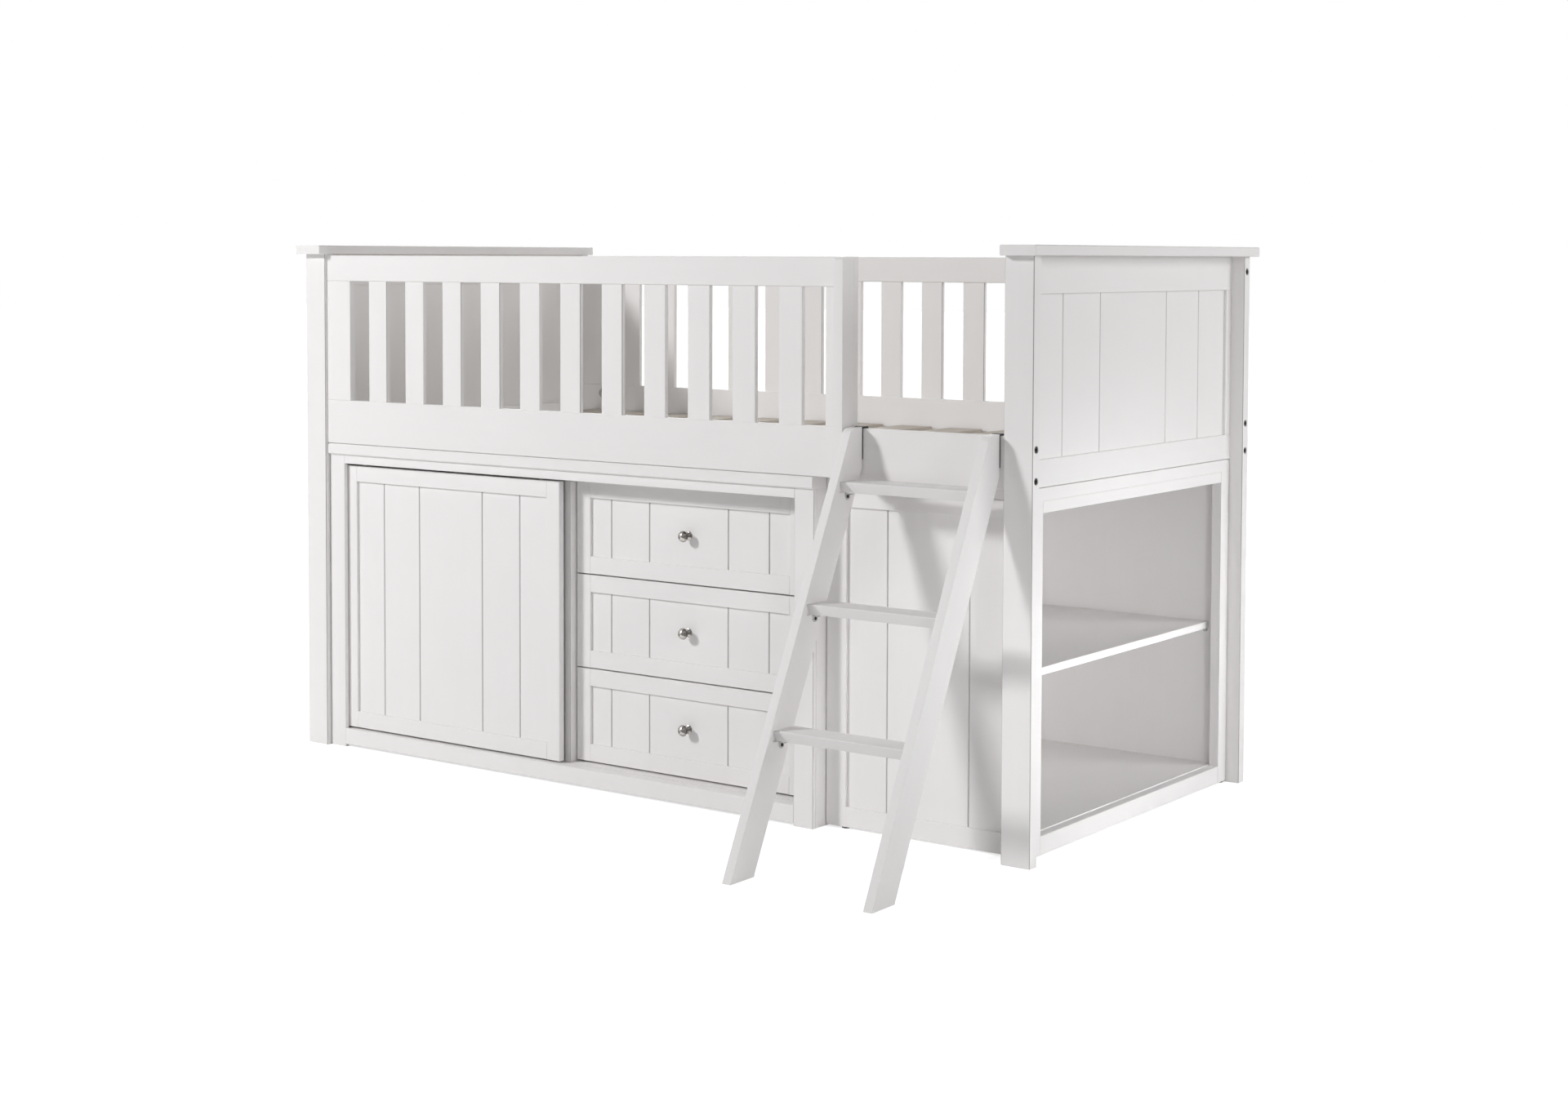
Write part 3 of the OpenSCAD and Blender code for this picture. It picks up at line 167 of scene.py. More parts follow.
def paint_film_group():
    """Sprayed satin paint on wood: a trace of the boards' grain and of their sanding along their
    length, fine orange peel, a slow drift of tone and gloss, a thin warmer film on the rounded
    edges, and painted shade in the joints between boards, darkest at a joint's bottom."""
    tree, given, outlet = new_group(
        "paint_film",
        [("Place", "Vector", None), ("Edge", "Float", 0.0), ("Tone", "Float", 0.5),
         ("Joint", "Float", 0.0), ("Paint", "Color", WHITE),
         ("Thin film", "Color", WHITE), ("Painted joint shade", "Color", WHITE),
         ("Gloss drift", "Float", 0.05)],
        [("Color", "Color"), ("Roughness", "Float"), ("Height", "Float")])
    place = given.outputs["Place"]
    streaks = noise(tree, place, PAINTED_GRAIN, 1.0, 4.0)
    sanding = noise(tree, place, SANDING_LINES, 1.0, 1.0)
    peel = noise(tree, place, EVEN, ORANGE_PEEL, 1.0)
    drift = noise(tree, place, TONE_STRETCH, TONE_DRIFT, 3.0)
    rub = noise(tree, place, EVEN, RUB_MARKS, 4.0, 0.6)
    dip = spread(tree, streaks, 0.3, 0.75, 0.0, GRAIN_SHADE)
    shade = maths(tree, "ADD", dip, spread(tree, drift, 0.3, 0.7, 0.0, DRIFT_SHADE))
    shade = maths(tree, "ADD", shade,
                  maths(tree, "MULTIPLY", given.outputs["Tone"], BOARD_SHADE))
    darker = add(tree, "HueSaturation",
                 {"Saturation": 1.15, "Value": 0.94, "Color": given.outputs["Paint"]})
    base = blend_colours(tree, shade, given.outputs["Paint"], darker.outputs[0])
    worn = maths(tree, "MULTIPLY", given.outputs["Edge"], spread(tree, rub, 0.42, 0.62))
    colour = blend_colours(tree, maths(tree, "MULTIPLY", worn, THIN_SHARE), base,
                           given.outputs["Thin film"])
    # Painted shade: the paint is darkened towards the bottom of each V-shaped joint, as if shade
    # fell there.
    joint = maths(tree, "MULTIPLY", given.outputs["Joint"], JOINT_PAINTED_SHADE)
    colour = blend_colours(tree, joint, colour, given.outputs["Painted joint shade"])
    gloss = maths(tree, "MULTIPLY", maths(tree, "SUBTRACT", drift, 0.5),
                  given.outputs["Gloss drift"])
    roughness = maths(tree, "ADD", maths(tree, "MULTIPLY", sanding, SANDING_ROUGHNESS),
                      PAINT_ROUGHNESS)
    roughness = maths(tree, "ADD", roughness, gloss)
    roughness = maths(tree, "ADD", roughness, maths(tree, "MULTIPLY", worn, RUBBED_ROUGHNESS))
    height = maths(tree, "ADD", maths(tree, "MULTIPLY", streaks, 0.30),
                   maths(tree, "MULTIPLY", peel, 0.30))
    height = maths(tree, "ADD", height, maths(tree, "MULTIPLY", sanding, 0.10))
    return finish_group(tree, outlet, {"Color": colour, "Roughness": roughness,
                                       "Height": height})


RING_BEND = 0.085              # how far the growth rings wander across a board, in metres
RING_WAVES = 1250.0            # the rings, in radians per metre across the board
BEND_STRETCH = (1.2, 5.0)
WOOD_FIBRES = (16.0, 900.0)
KNOT_CELLS = 5.5               # cells per metre, of which few hold a knot
KNOT_CHOICE = 3.1              # the scale of the noise that chooses them
KNOT_REACH = (0.03, 0.07)      # a knot's heart and its rim, as parts of a cell
END_DARKER = 0.45
BOARD_DARKER = 0.25
WOOD_ROUGHNESS = 0.52
FIBRE_ROUGHNESS = 0.22


def wood_grain_group():
    """Bare planed softwood: growth rings that run along the board, fine fibres, a few knots,
    and darker end grain."""
    tree, given, outlet = new_group(
        "wood_grain",
        [("Place", "Vector", None), ("End", "Float", 0.0), ("Tone", "Float", 0.5),
         ("Early wood", "Color", WHITE), ("Late wood", "Color", WHITE),
         ("Knot", "Color", WHITE)],
        [("Color", "Color"), ("Roughness", "Float"), ("Height", "Float")])
    place = given.outputs["Place"]
    bend = noise(tree, place, BEND_STRETCH, 1.0, 2.0)
    sides = add(tree, "SeparateXYZ", {0: place})
    across = maths(tree, "ADD", sides.outputs[1], maths(tree, "MULTIPLY", bend, RING_BEND))
    rings = maths(tree, "SINE", maths(tree, "MULTIPLY", across, RING_WAVES))
    rings = spread(tree, rings, -0.2, 1.0)
    fibres = noise(tree, place, WOOD_FIBRES, 1.0, 3.0)
    cells = add(tree, "TexVoronoi", {"Vector": place, "Scale": KNOT_CELLS, "Randomness": 1.0},
                feature="F1")
    knots = spread(tree, cells.outputs["Distance"], *KNOT_REACH, 1.0, 0.0)
    knots = maths(tree, "MULTIPLY", knots,
                  spread(tree, noise(tree, place, EVEN, KNOT_CHOICE), 0.52, 0.56))
    late = maths(tree, "MULTIPLY", rings, spread(tree, fibres, 0.25, 0.7, 0.35, 0.9))
    late = maths(tree, "ADD", late,
                 maths(tree, "MULTIPLY", given.outputs["Tone"], BOARD_DARKER))
    end = maths(tree, "MULTIPLY", given.outputs["End"], END_DARKER)
    late = maths(tree, "ADD", late, end, clamp=True)
    colour = blend_colours(tree, late, given.outputs["Early wood"], given.outputs["Late wood"])
    colour = blend_colours(tree, knots, colour, given.outputs["Knot"])
    roughness = maths(tree, "ADD", maths(tree, "MULTIPLY", fibres, FIBRE_ROUGHNESS),
                      WOOD_ROUGHNESS)
    height = maths(tree, "ADD", maths(tree, "MULTIPLY", fibres, 0.6),
                   maths(tree, "MULTIPLY", rings, 0.4))
    return finish_group(tree, outlet, {"Color": colour, "Roughness": roughness,
                                       "Height": height})


ROUND_MAP = 56 * MM            # the way once round a turned piece, in its place map
TOOL_LINES = (40.0, 5200.0)    # per metre, along and across the way that the tool went
SCRATCHES = (3800.0, 90.0)
HANDLING_FILM = 260.0
BROAD_REFLECTION_BANDS, BROAD_TURN = 2.0, 0.9    # painted reflection bands once round the piece, and where they start
NARROW_REFLECTION_BANDS, NARROW_TURN = 5.0, 2.1
NARROW_SHARE = 0.6
LINE_SHARE = 0.5               # how far a tool line darkens the metal
FILM_ROUGHNESS = 0.14
LINE_ROUGHNESS = 0.10
SCRATCH_ROUGHNESS = 0.05


def turned_metal_group():
    """Metal from the lathe or the press: fine rings or lines along one way, scratches across them,
    a film of handling that dulls the low spots, and a painted reflection: light and dark bands that
    run from the middle of a turned face to its rim."""
    tree, given, outlet = new_group(
        "turned_metal",
        [("Place", "Vector", None), ("Edge", "Float", 0.0),
         ("Metal", "Color", WHITE), ("Tarnish and painted reflection", "Color", WHITE),
         ("Lines", "Float", 1.0), ("Dull", "Float", 0.3), ("Film", "Float", 0.75),
         ("Painted reflection bands", "Float", 0.0)],
        [("Color", "Color"), ("Roughness", "Float"), ("Height", "Float")])
    place = given.outputs["Place"]
    lines = noise(tree, place, TOOL_LINES, 1.0, 2.0)
    film = noise(tree, place, EVEN, HANDLING_FILM, 4.0, 0.62)
    scratches = spread(tree, noise(tree, place, SCRATCHES, 1.0, 1.0), 0.62, 0.72)
    tarnish = maths(tree, "MULTIPLY", spread(tree, film, 0.46, 0.70),
                    maths(tree, "SUBTRACT", 1.0, given.outputs["Edge"]))
    streak = maths(tree, "MULTIPLY", spread(tree, lines, 0.3, 0.7), given.outputs["Lines"])
    colour = blend_colours(tree, maths(tree, "MULTIPLY", tarnish, given.outputs["Film"]),
                           given.outputs["Metal"], given.outputs["Tarnish and painted reflection"])
    # Painted reflection: light and dark bands round a turned face, blended towards the tarnish
    # colour, stand in for the reflections that a turned face shows.
    sides = add(tree, "SeparateXYZ", {0: place})
    turned = maths(tree, "MULTIPLY", sides.outputs[0], math.tau / ROUND_MAP)
    broad = maths(tree, "MULTIPLY", turned, BROAD_REFLECTION_BANDS)
    broad = maths(tree, "SINE", maths(tree, "ADD", broad, BROAD_TURN))
    narrow = maths(tree, "MULTIPLY", turned, NARROW_REFLECTION_BANDS)
    narrow = maths(tree, "SINE", maths(tree, "ADD", narrow, NARROW_TURN))
    reflection_bands = maths(tree, "ADD", broad, maths(tree, "MULTIPLY", narrow, NARROW_SHARE))
    reflection_bands = maths(tree, "MULTIPLY", spread(tree, reflection_bands, -0.4, 0.7), given.outputs["Painted reflection bands"])
    colour = blend_colours(tree, reflection_bands, colour, given.outputs["Tarnish and painted reflection"])
    darker = add(tree, "HueSaturation", {"Value": 0.82, "Color": colour})
    colour = blend_colours(tree, maths(tree, "MULTIPLY", streak, LINE_SHARE), colour,
                           darker.outputs[0])
    roughness = given.outputs["Dull"]
    for wear, rougher in ((tarnish, FILM_ROUGHNESS), (streak, LINE_ROUGHNESS),
                          (scratches, SCRATCH_ROUGHNESS)):
        roughness = maths(tree, "ADD", roughness, maths(tree, "MULTIPLY", wear, rougher))
    height = maths(tree, "ADD", maths(tree, "MULTIPLY", streak, 0.6),
                   maths(tree, "MULTIPLY", scratches, -0.4))
    return finish_group(tree, outlet, {"Color": colour, "Roughness": roughness,
                                       "Height": height})


PAINT_FILM = paint_film_group()
WOOD_GRAIN = wood_grain_group()
TURNED_METAL = turned_metal_group()

# ---------- Finishes ----------

PLACE_MAP = "board_place"      # the map of each board's own place: along it, across it, in metres
EDGE_MARK = "rounded_edge"     # 1 on the rounded edges of a piece
END_MARK = "end_grain"         # 1 on the ends of a board
TONE_MARK = "board_tone"       # one value for each board
JOINT_MARK = "joint_depth"     # from 0 at the edges of a joint between boards to 1 at its bottom, which sets the painted shade there


def mark(tree, name):
    """A piece's own mark, as a value."""
    return add(tree, "Attribute", attribute_name=name).outputs["Fac"]


def new_finish(name, group, colours, depth, strength, values=None, marks=()):
    """A finish whose colour, roughness and relief come from one of the shared effects. Depth is
    the relief's, in metres."""
    material = bpy.data.materials.new(name)
    material.use_nodes = True
    tree = material.node_tree
    tree.nodes.clear()
    effect = tree.nodes.new("ShaderNodeGroup")
    effect.node_tree = group
    place = add(tree, "UVMap", uv_map=PLACE_MAP)
    tree.links.new(place.outputs[0], effect.inputs["Place"])
    for label, attribute in marks:
        tree.links.new(mark(tree, attribute), effect.inputs[label])
    for label, colour in colours.items():
        effect.inputs[label].default_value = (*colour, 1.0)
    for label, value in (values or {}).items():
        effect.inputs[label].default_value = value
    bump = add(tree, "Bump", {"Strength": strength, "Distance": depth,
                              "Height": effect.outputs["Height"]})
    shader = add(tree, "BsdfPrincipled", {"Base Color": effect.outputs["Color"],
                                          "Roughness": effect.outputs["Roughness"],
                                          "Normal": bump.outputs[0]})
    add(tree, "OutputMaterial", {"Surface": shader.outputs[0]})
    return material, shader


def satin_white():
    """The white paint of all the boards that show."""
    material, shader = new_finish(
        "satin_white_paint", PAINT_FILM,
        {"Paint": (0.90, 0.884, 0.879), "Thin film": (0.80, 0.775, 0.75),
         # Painted joint shade: a dark grey that stands in for shade at the bottom of the joints.
         "Painted joint shade": (0.33, 0.32, 0.31)},
        0.03 * MM, 0.7,
        marks=[("Edge", EDGE_MARK), ("Tone", TONE_MARK), ("Joint", JOINT_MARK)])
    shader.inputs["Specular IOR Level"].default_value = 0.42
    return material


def bare_pine(name, early, late):
    """Softwood without paint, in the colours of its early and late wood."""
    material, shader = new_finish(
        name, WOOD_GRAIN,
        {"Early wood": early, "Late wood": late, "Knot": (0.30, 0.21, 0.14)},
        0.12 * MM, 0.8,
        marks=[("End", END_MARK), ("Tone", TONE_MARK)])
    shader.inputs["Specular IOR Level"].default_value = 0.3
    return material


def metal(name, colour, tarnish, dull, lines, film=0.75, reflection_bands=0.0):
    """Worked metal: how dull it is, how much its tool lines and its film show, and how strong its
    painted reflection bands are.
    """
    material, shader = new_finish(
        name, TURNED_METAL, {"Metal": colour, "Tarnish and painted reflection": tarnish}, 0.01 * MM, 0.6,
        values={"Dull": dull, "Lines": lines, "Film": film, "Painted reflection bands": reflection_bands},
        marks=[("Edge", EDGE_MARK)])
    shader.inputs["Metallic"].default_value = 1.0
    return material


def moulded(name, colour, worn):
    """A moulded or lacquered part: the paint effect with its own colours and no metal."""
    material, shader = new_finish(
        name, PAINT_FILM, {"Paint": colour, "Thin film": worn}, 0.02 * MM, 0.6,
        values={"Gloss drift": 0.1}, marks=[("Edge", EDGE_MARK), ("Tone", TONE_MARK)])
    shader.inputs["Specular IOR Level"].default_value = 0.45
    return material


FINISH = {
    "white_paint": satin_white(),
    "pine": bare_pine("planed_pine", (0.63, 0.585, 0.53), (0.52, 0.46, 0.39)),
    # The knob's dark colour serves both its tarnish and its painted reflection bands.
    "brushed_nickel": metal("turned_nickel", (0.50, 0.48, 0.455), (0.10, 0.092, 0.085), 0.2, 0.6,
                            film=0.3, reflection_bands=0.9),
    "dark_steel": metal("black_bolt_steel", (0.05, 0.046, 0.043), (0.02, 0.018, 0.016), 0.36, 0.7),
    "grey_steel": metal("zinc_plate", (0.58, 0.58, 0.57), (0.40, 0.40, 0.39), 0.34, 0.5),
    "nylon": moulded("moulded_nylon", (0.72, 0.72, 0.70), (0.62, 0.62, 0.60)),
    "dark_plastic": moulded("black_glide_plastic", (0.035, 0.035, 0.036), (0.09, 0.09, 0.09)),
    "black_lacquer": moulded("black_lacquered_steel", (0.018, 0.018, 0.019), (0.10, 0.10, 0.10)),
}

# ---------- Pieces cut from the frame's own boards ----------

WELD = 0.02 * MM               # corners closer than this are one corner
FLAT = math.radians(0.5)       # faces that meet at less than this are one face
SHARP = math.radians(25)       # an edge sharper than this gets rounded
CRISP = math.radians(38)       # an edge sharper than this stays an edge in the shading
SMALLEST_CUT = 2e-4            # square metres: a chamfer larger than this is a board's joint
UPRIGHT = 0.1                  # a face that leans less than this stands upright
CUT_TURN = (0.6, 0.8)          # how far to the side the face of a joint's cut looks
ENDWISE = 0.7                  # a face that looks along the board more than this is its end
PLACE_SHIFT = 40               # metres over which the boards' place maps are strewn
TINY = 1e-6                    # a shorter vector has no direction
ROUND_STEPS = 2                 # steps in a rounded edge
LARGE_FACES_LEAD = 100         # how far a large face sets the shading of its corners, of 100
dice = random.Random(7)


def islands(mesh):
    """The separate boards of a mesh, each as a list of its faces."""
    left = set(mesh.faces)
    found = []
    for face in mesh.faces:
        if face not in left:
            continue
        group, reach = [], [face]
        left.discard(face)
        while reach:
            at = reach.pop()
            group.append(at)
            for edge in at.edges:
                for other in edge.link_faces:
                    if other in left:
                        left.discard(other)
                        reach.append(other)
        found.append(group)
    return found


def long_way(faces, along):
    """The direction of a board's grain: the given one, or its longest side."""
    if along is not None:
        return along
    corners = [v.co for face in faces for v in face.verts]
    size = [max(c[i] for c in corners) - min(c[i] for c in corners) for i in range(3)]
    return (ACROSS, BACK, UP)[size.index(max(size))]


def marks_of(mesh, name):
    """The faces' layer of a mark, made where it is missing."""
    layers = mesh.faces.layers.float
    return layers.get(name) or layers.new(name)


def lay_places(mesh, along=None):
    """Gives each board a place map along and across its grain, with its own offset, a tone of
    its own, and a mark on its ends."""
    places = mesh.loops.layers.uv.new(PLACE_MAP)
    ends = marks_of(mesh, END_MARK)
    tones = marks_of(mesh, TONE_MARK)
    for faces in islands(mesh):
        way = long_way(faces, along)
        shift = Vector((dice.uniform(0, PLACE_SHIFT), dice.uniform(0, PLACE_SHIFT)))
        tone = dice.random()
        for face in faces:
            face[tones] = tone
            lengthwise, normal = way, face.normal
            if abs(normal.dot(way)) > ENDWISE:
                face[ends] = 1.0
                lengthwise = UP if abs(way.z) < 0.5 else ACROSS
            side = normal.cross(lengthwise)
            side = side.normalized() if side.length > TINY else BACK
            for loop in face.loops:
                p = loop.vert.co
                loop[places].uv = Vector((p.dot(lengthwise), p.dot(side))) + shift


def round_edges(mesh, radius):
    """Rounds the sharp outward edges and marks the rounded faces."""
    marks = marks_of(mesh, EDGE_MARK)
    edges = [e for e in mesh.edges
             if len(e.link_faces) == 2 and e.is_convex and e.calc_face_angle() > SHARP]
    if not edges:
        return
    made = bmesh.ops.bevel(mesh, geom=edges, offset=radius, offset_type="OFFSET",
                           segments=ROUND_STEPS, profile=0.5, affect="EDGES", clamp_overlap=False)
    for face in made["faces"]:
        face[marks] = 1.0
    bmesh.ops.remove_doubles(mesh, verts=mesh.verts, dist=WELD / 4)


def mark_joints(mesh):
    """Marks how deep each corner of a board lies in the V-shaped joint beside it, which sets how
    dark the painted shade in the joint is there.
    """
    depths = mesh.verts.layers.float.new(JOINT_MARK)
    for faces in islands(mesh):
        cuts = [f for f in faces
                if abs(f.normal.z) < UPRIGHT and CUT_TURN[0] < abs(f.normal.x) < CUT_TURN[1]
                and f.calc_area() > SMALLEST_CUT]
        if not cuts:
            continue
        broad = max(faces, key=lambda f: f.calc_area()).normal
        front = ACROSS if abs(broad.x) > abs(broad.y) else BACK
        front = front * math.copysign(1, cuts[0].normal.dot(front))
        face_at = max(v.co.dot(front) for f in cuts for v in f.verts)
        bottom_at = min(v.co.dot(front) for f in cuts for v in f.verts)
        for v in {v for f in cuts for v in f.verts}:
            v[depths] = (face_at - v.co.dot(front)) / (face_at - bottom_at)


def to_piece(name, mesh, finish, body):
    """Turns a mesh under work into a piece with a finish that rides on a body."""
    for face in mesh.faces:
        face.smooth = True
    for edge in mesh.edges:
        if len(edge.link_faces) == 2 and edge.calc_face_angle() > CRISP:
            edge.smooth = False
    data = bpy.data.meshes.new(name)
    mesh.to_mesh(data)
    mesh.free()
    piece = bpy.data.objects.new(name, data)
    bpy.context.scene.collection.objects.link(piece)
    data.materials.append(FINISH[finish])
    even = piece.modifiers.new("even_shading", "WEIGHTED_NORMAL")
    even.mode = "FACE_AREA"
    even.weight = LARGE_FACES_LEAD
    even.keep_sharp = True
    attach(piece, body)
    return piece


def body_of(node):
    """The moving body, or the bed itself, that a node belongs to."""
    for body, members in frame["record"]["behaviour"]["bodies"].items():
        if node in members:
            return body
    raise KeyError(node)


def board_mesh(node):
    """A node's mesh with its corners joined and its flat faces whole again."""
    mesh = bmesh.new()
    mesh.from_mesh(frame["nodes"][node].data)
    bmesh.ops.remove_doubles(mesh, verts=mesh.verts, dist=WELD)
    bmesh.ops.dissolve_limit(mesh, angle_limit=FLAT, verts=mesh.verts, edges=mesh.edges)
    bmesh.ops.recalc_face_normals(mesh, faces=mesh.faces)
    return mesh


def dress(node, finish, radius, suffix, along=None, reshape=None):
    """The node's boards with rounded edges and a finish, in the node's place."""
    mesh = board_mesh(node)
    if reshape:
        reshape(mesh)
    round_edges(mesh, radius)
    mesh.normal_update()
    if finish == "white_paint":
        mark_joints(mesh)
    lay_places(mesh, along)
    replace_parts(to_piece(f"{node}_{suffix}", mesh, finish, body_of(node)), node)


# ---------- Fittings with finer detail than their nodes ----------

def box_of(faces):
    """The lowest and highest corner of some faces."""
    corners = [v.co for face in faces for v in face.verts]
    low = Vector([min(c[i] for c in corners) for i in range(3)])
    high = Vector([max(c[i] for c in corners) for i in range(3)])
    return low, high


def solids_of(node):
    """The lowest and highest corner of each solid of a node."""
    mesh = board_mesh(node)
    boxes = [box_of(faces) for faces in islands(mesh)]
    mesh.free()
    return boxes


def levels_of(node, axis):
    """The heights, or the places along another axis, at which a node has corners."""
    return sorted({round(v.co[axis], 5) for v in frame["nodes"][node].data.vertices})


def turn(mesh, profile, origin, axis, count):
    """Adds a turned body of count sides. Its profile has radius and height along the axis, in
    millimetres, and a third number where a ring has corners instead of being round."""
    places = mesh.loops.layers.uv.get(PLACE_MAP) or mesh.loops.layers.uv.new(PLACE_MAP)
    stand = Matrix.Translation(origin) @ axis.to_track_quat("Z", "Y").to_matrix().to_4x4()
    rings = []
    for radius, height, *corners in profile:
        ring = []
        for i in range(count if radius else 1):
            angle = math.tau * i / count
            reach = radius
            if corners:
                part = math.tau / corners[0]
                reach *= math.cos(part / 2) / math.cos(angle % part - part / 2)
            place = Vector((reach * math.cos(angle), reach * math.sin(angle), height))
            ring.append(mesh.verts.new(stand @ (place * MM)))
        rings.append(ring)
    turned = ROUND_MAP / count
    way = 0.0
    for k in range(len(rings) - 1):
        low, high = rings[k], rings[k + 1]
        step = math.dist(profile[k][:2], profile[k + 1][:2]) * MM
        for i in range(count):
            j = (i + 1) % count
            round_way = [(low[i % len(low)], i, way), (low[j % len(low)], i + 1, way),
                         (high[j % len(high)], i + 1, way + step),
                         (high[i % len(high)], i, way + step)]
            spots = {vert: Vector((steps * turned, v)) for vert, steps, v in round_way}
            for loop in mesh.faces.new(spots.keys()).loops:
                loop[places].uv = spots[loop.vert]
        way += step


def plate(mesh, outline, thick, origin, a, b, c):
    """Adds a plate: an outline along a and b, as thick as given along c."""
    near = [mesh.verts.new(origin + a * p + b * q) for p, q in outline]
    far = [mesh.verts.new(origin + a * p + b * q + c * thick) for p, q in outline]
    mesh.faces.new(near)
    mesh.faces.new(list(reversed(far)))
    for i in range(len(outline)):
        j = (i + 1) % len(outline)
        mesh.faces.new((near[j], near[i], far[i], far[j]))


def fitting(name, mesh, finish, node, stands_in=True):
    """Turns a fitting's mesh into a piece, in its node's place or beside it."""
    mesh.normal_update()
    piece = to_piece(name, mesh, finish, body_of(node))
    if stands_in:
        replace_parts(piece, node)


def make_knob(node):
    """A turned knob: a stepped rose, a slim neck and a flat domed head with a turned edge."""
    (low, high), = solids_of(node)
    rose = [(0, 0), (9.7, 0), (10.1, 0.5), (10.1, 1.5), (9.6, 2.1), (8.2, 2.5), (7.9, 2.9)]
    neck = [(8.0, 3.6), (7.6, 4.3), (6.6, 4.9), (5.5, 5.8), (4.9, 7.2), (4.6, 9.4), (4.7, 12.0),
            (5.4, 14.2), (7.0, 15.9), (9.6, 17.0)]
    rim = [(11.8, 17.9), (12.4, 18.7), (12.5, 19.6), (12.1, 20.3)]
    dome = [(11.8, 20.8), (11.3, 22.2), (9.9, 24.1), (7.8, 25.8), (5.2, 27.1), (2.6, 27.8),
            (0, 28.1)]
    mesh = bmesh.new()
    foot = Vector(((low.x + high.x) / 2, high.y, (low.z + high.z) / 2))
    turn(mesh, rose + neck + rim + dome, foot, -BACK, 56)
    fitting(f"{node}_turned", mesh, "brushed_nickel", node)


def make_bolts(node):
    """Socket head bolts: a rounded head with a hexagonal socket, and the shank to its nut."""
    mesh = bmesh.new()
    for low, high in solids_of(node):
        middle = (low + high) / 2
        outward = -ACROSS if middle.x < 0 else ACROSS
        face = Vector((low.x if middle.x < 0 else high.x, middle.y, middle.z))
        shank = (high.x - low.x) / MM
        profile = [(0, -shank), (2.3, -shank), (3.0, 0.8 - shank), (3.0, -4.0), (6.7, -4.0),
                   (7.0, -3.6), (7.0, -1.1), (6.7, -0.5), (6.0, -0.1), (5.0, 0), (3.4, 0, 6),
                   (3.2, -0.3, 6), (3.2, -2.6, 6), (0, -3.1)]
        turn(mesh, profile, face, outward, 36)
    fitting(f"{node}_socket_heads", mesh, "dark_steel", node)


SHORTEST_PIN = 10 * MM         # a pin is longer than this, and thinner


def make_pins(node):
    """Shelf pins with a collar against the board that holds them and rounded ends."""
    mesh = bmesh.new()
    boxes = solids_of(node)
    for axis in (0, 1):
        pins = [(low, high) for low, high in boxes if (high - low)[axis] > SHORTEST_PIN]
        mean = sum((low + high)[axis] / 2 for low, high in pins) / len(pins)
        for low, high in pins:
            middle, half = (low + high) / 2, (high - low)[axis] / 2 / MM
            way = (ACROSS, BACK)[axis] * (1 if middle[axis] < mean else -1)
            profile = [(0, -half), (2.3, -half), (3, 0.7 - half), (3, 0), (4.6, 0), (4.8, 0.3),
                       (4.8, 1.0), (4.5, 1.3), (3, 1.4), (3, half - 0.9), (2.2, half - 0.1),
                       (0, half)]
            turn(mesh, profile, middle, way, 28)
    fitting(f"{node}_collared", mesh, "grey_steel", node)


def make_glides(node):
    """Nail-on glides: a domed foot with a rim against the board."""
    mesh = bmesh.new()
    for low, high in solids_of(node):
        profile = [(0, 0), (6.4, 0), (8.2, 0.3), (9.4, 1.0), (10.0, 2.0), (10.0, 3.0),
                   (9.4, 3.3), (9.4, 4.0), (0, 4.0)]
        turn(mesh, profile, Vector(((low.x + high.x) / 2, (low.y + high.y) / 2, low.z)), UP, 32)
    fitting(f"{node}_domed", mesh, "dark_plastic", node)


def tab_outline(width, length, steps=12):
    """A tab: square at its root and round at its end."""
    r = width / 2
    arc = [(r + r * math.cos(math.pi * i / steps), length - r + r * math.sin(math.pi * i / steps))
           for i in range(steps + 1)]
    return [(0, 0), (width, 0)] + arc


BRACKET_THICK = 2 * MM
BRACKET_EDGE = 0.35 * MM
DROP_SCREW, REACH_SCREW = 0.55, 0.62  # the screws' places down and along the legs, as shares


def make_brackets(node):
    """Angle brackets with round ends, and a pan head screw in each leg."""
    plates, screws = bmesh.new(), bmesh.new()
    boxes = solids_of(node)
    centre = sum((low + high).x / 2 for low, high in boxes) / len(boxes)
    head = [(0, -0.5), (3.4, -0.5), (3.6, 0.2), (3.3, 1.0), (2.3, 1.6), (1.3, 1.7, 6),
            (1.2, 1.0, 6), (0, 0.8)]
    for low, high in boxes:
        left = (low + high).x / 2 < centre
        side = ACROSS if left else -ACROSS
        root = Vector((low.x if left else high.x, low.y, high.z))
        width, drop, reach = high.y - low.y, high.z - low.z, high.x - low.x
        plate(plates, tab_outline(width, drop), BRACKET_THICK, root, BACK, -UP, side)
        plate(plates, tab_outline(width, reach), BRACKET_THICK, root, BACK, side, -UP)
        mid = root + BACK * width / 2
        turn(screws, head, mid + side * BRACKET_THICK - UP * drop * DROP_SCREW, side, 24)
        turn(screws, head, mid - UP * BRACKET_THICK + side * reach * REACH_SCREW, -UP, 24)
    bmesh.ops.recalc_face_normals(plates, faces=plates.faces)
    round_edges(plates, BRACKET_EDGE)
    plates.normal_update()
    lay_places(plates)
    fitting(f"{node}_rounded", plates, "grey_steel", node)
    fitting("bracket_screws", screws, "dark_steel", node, stands_in=False)


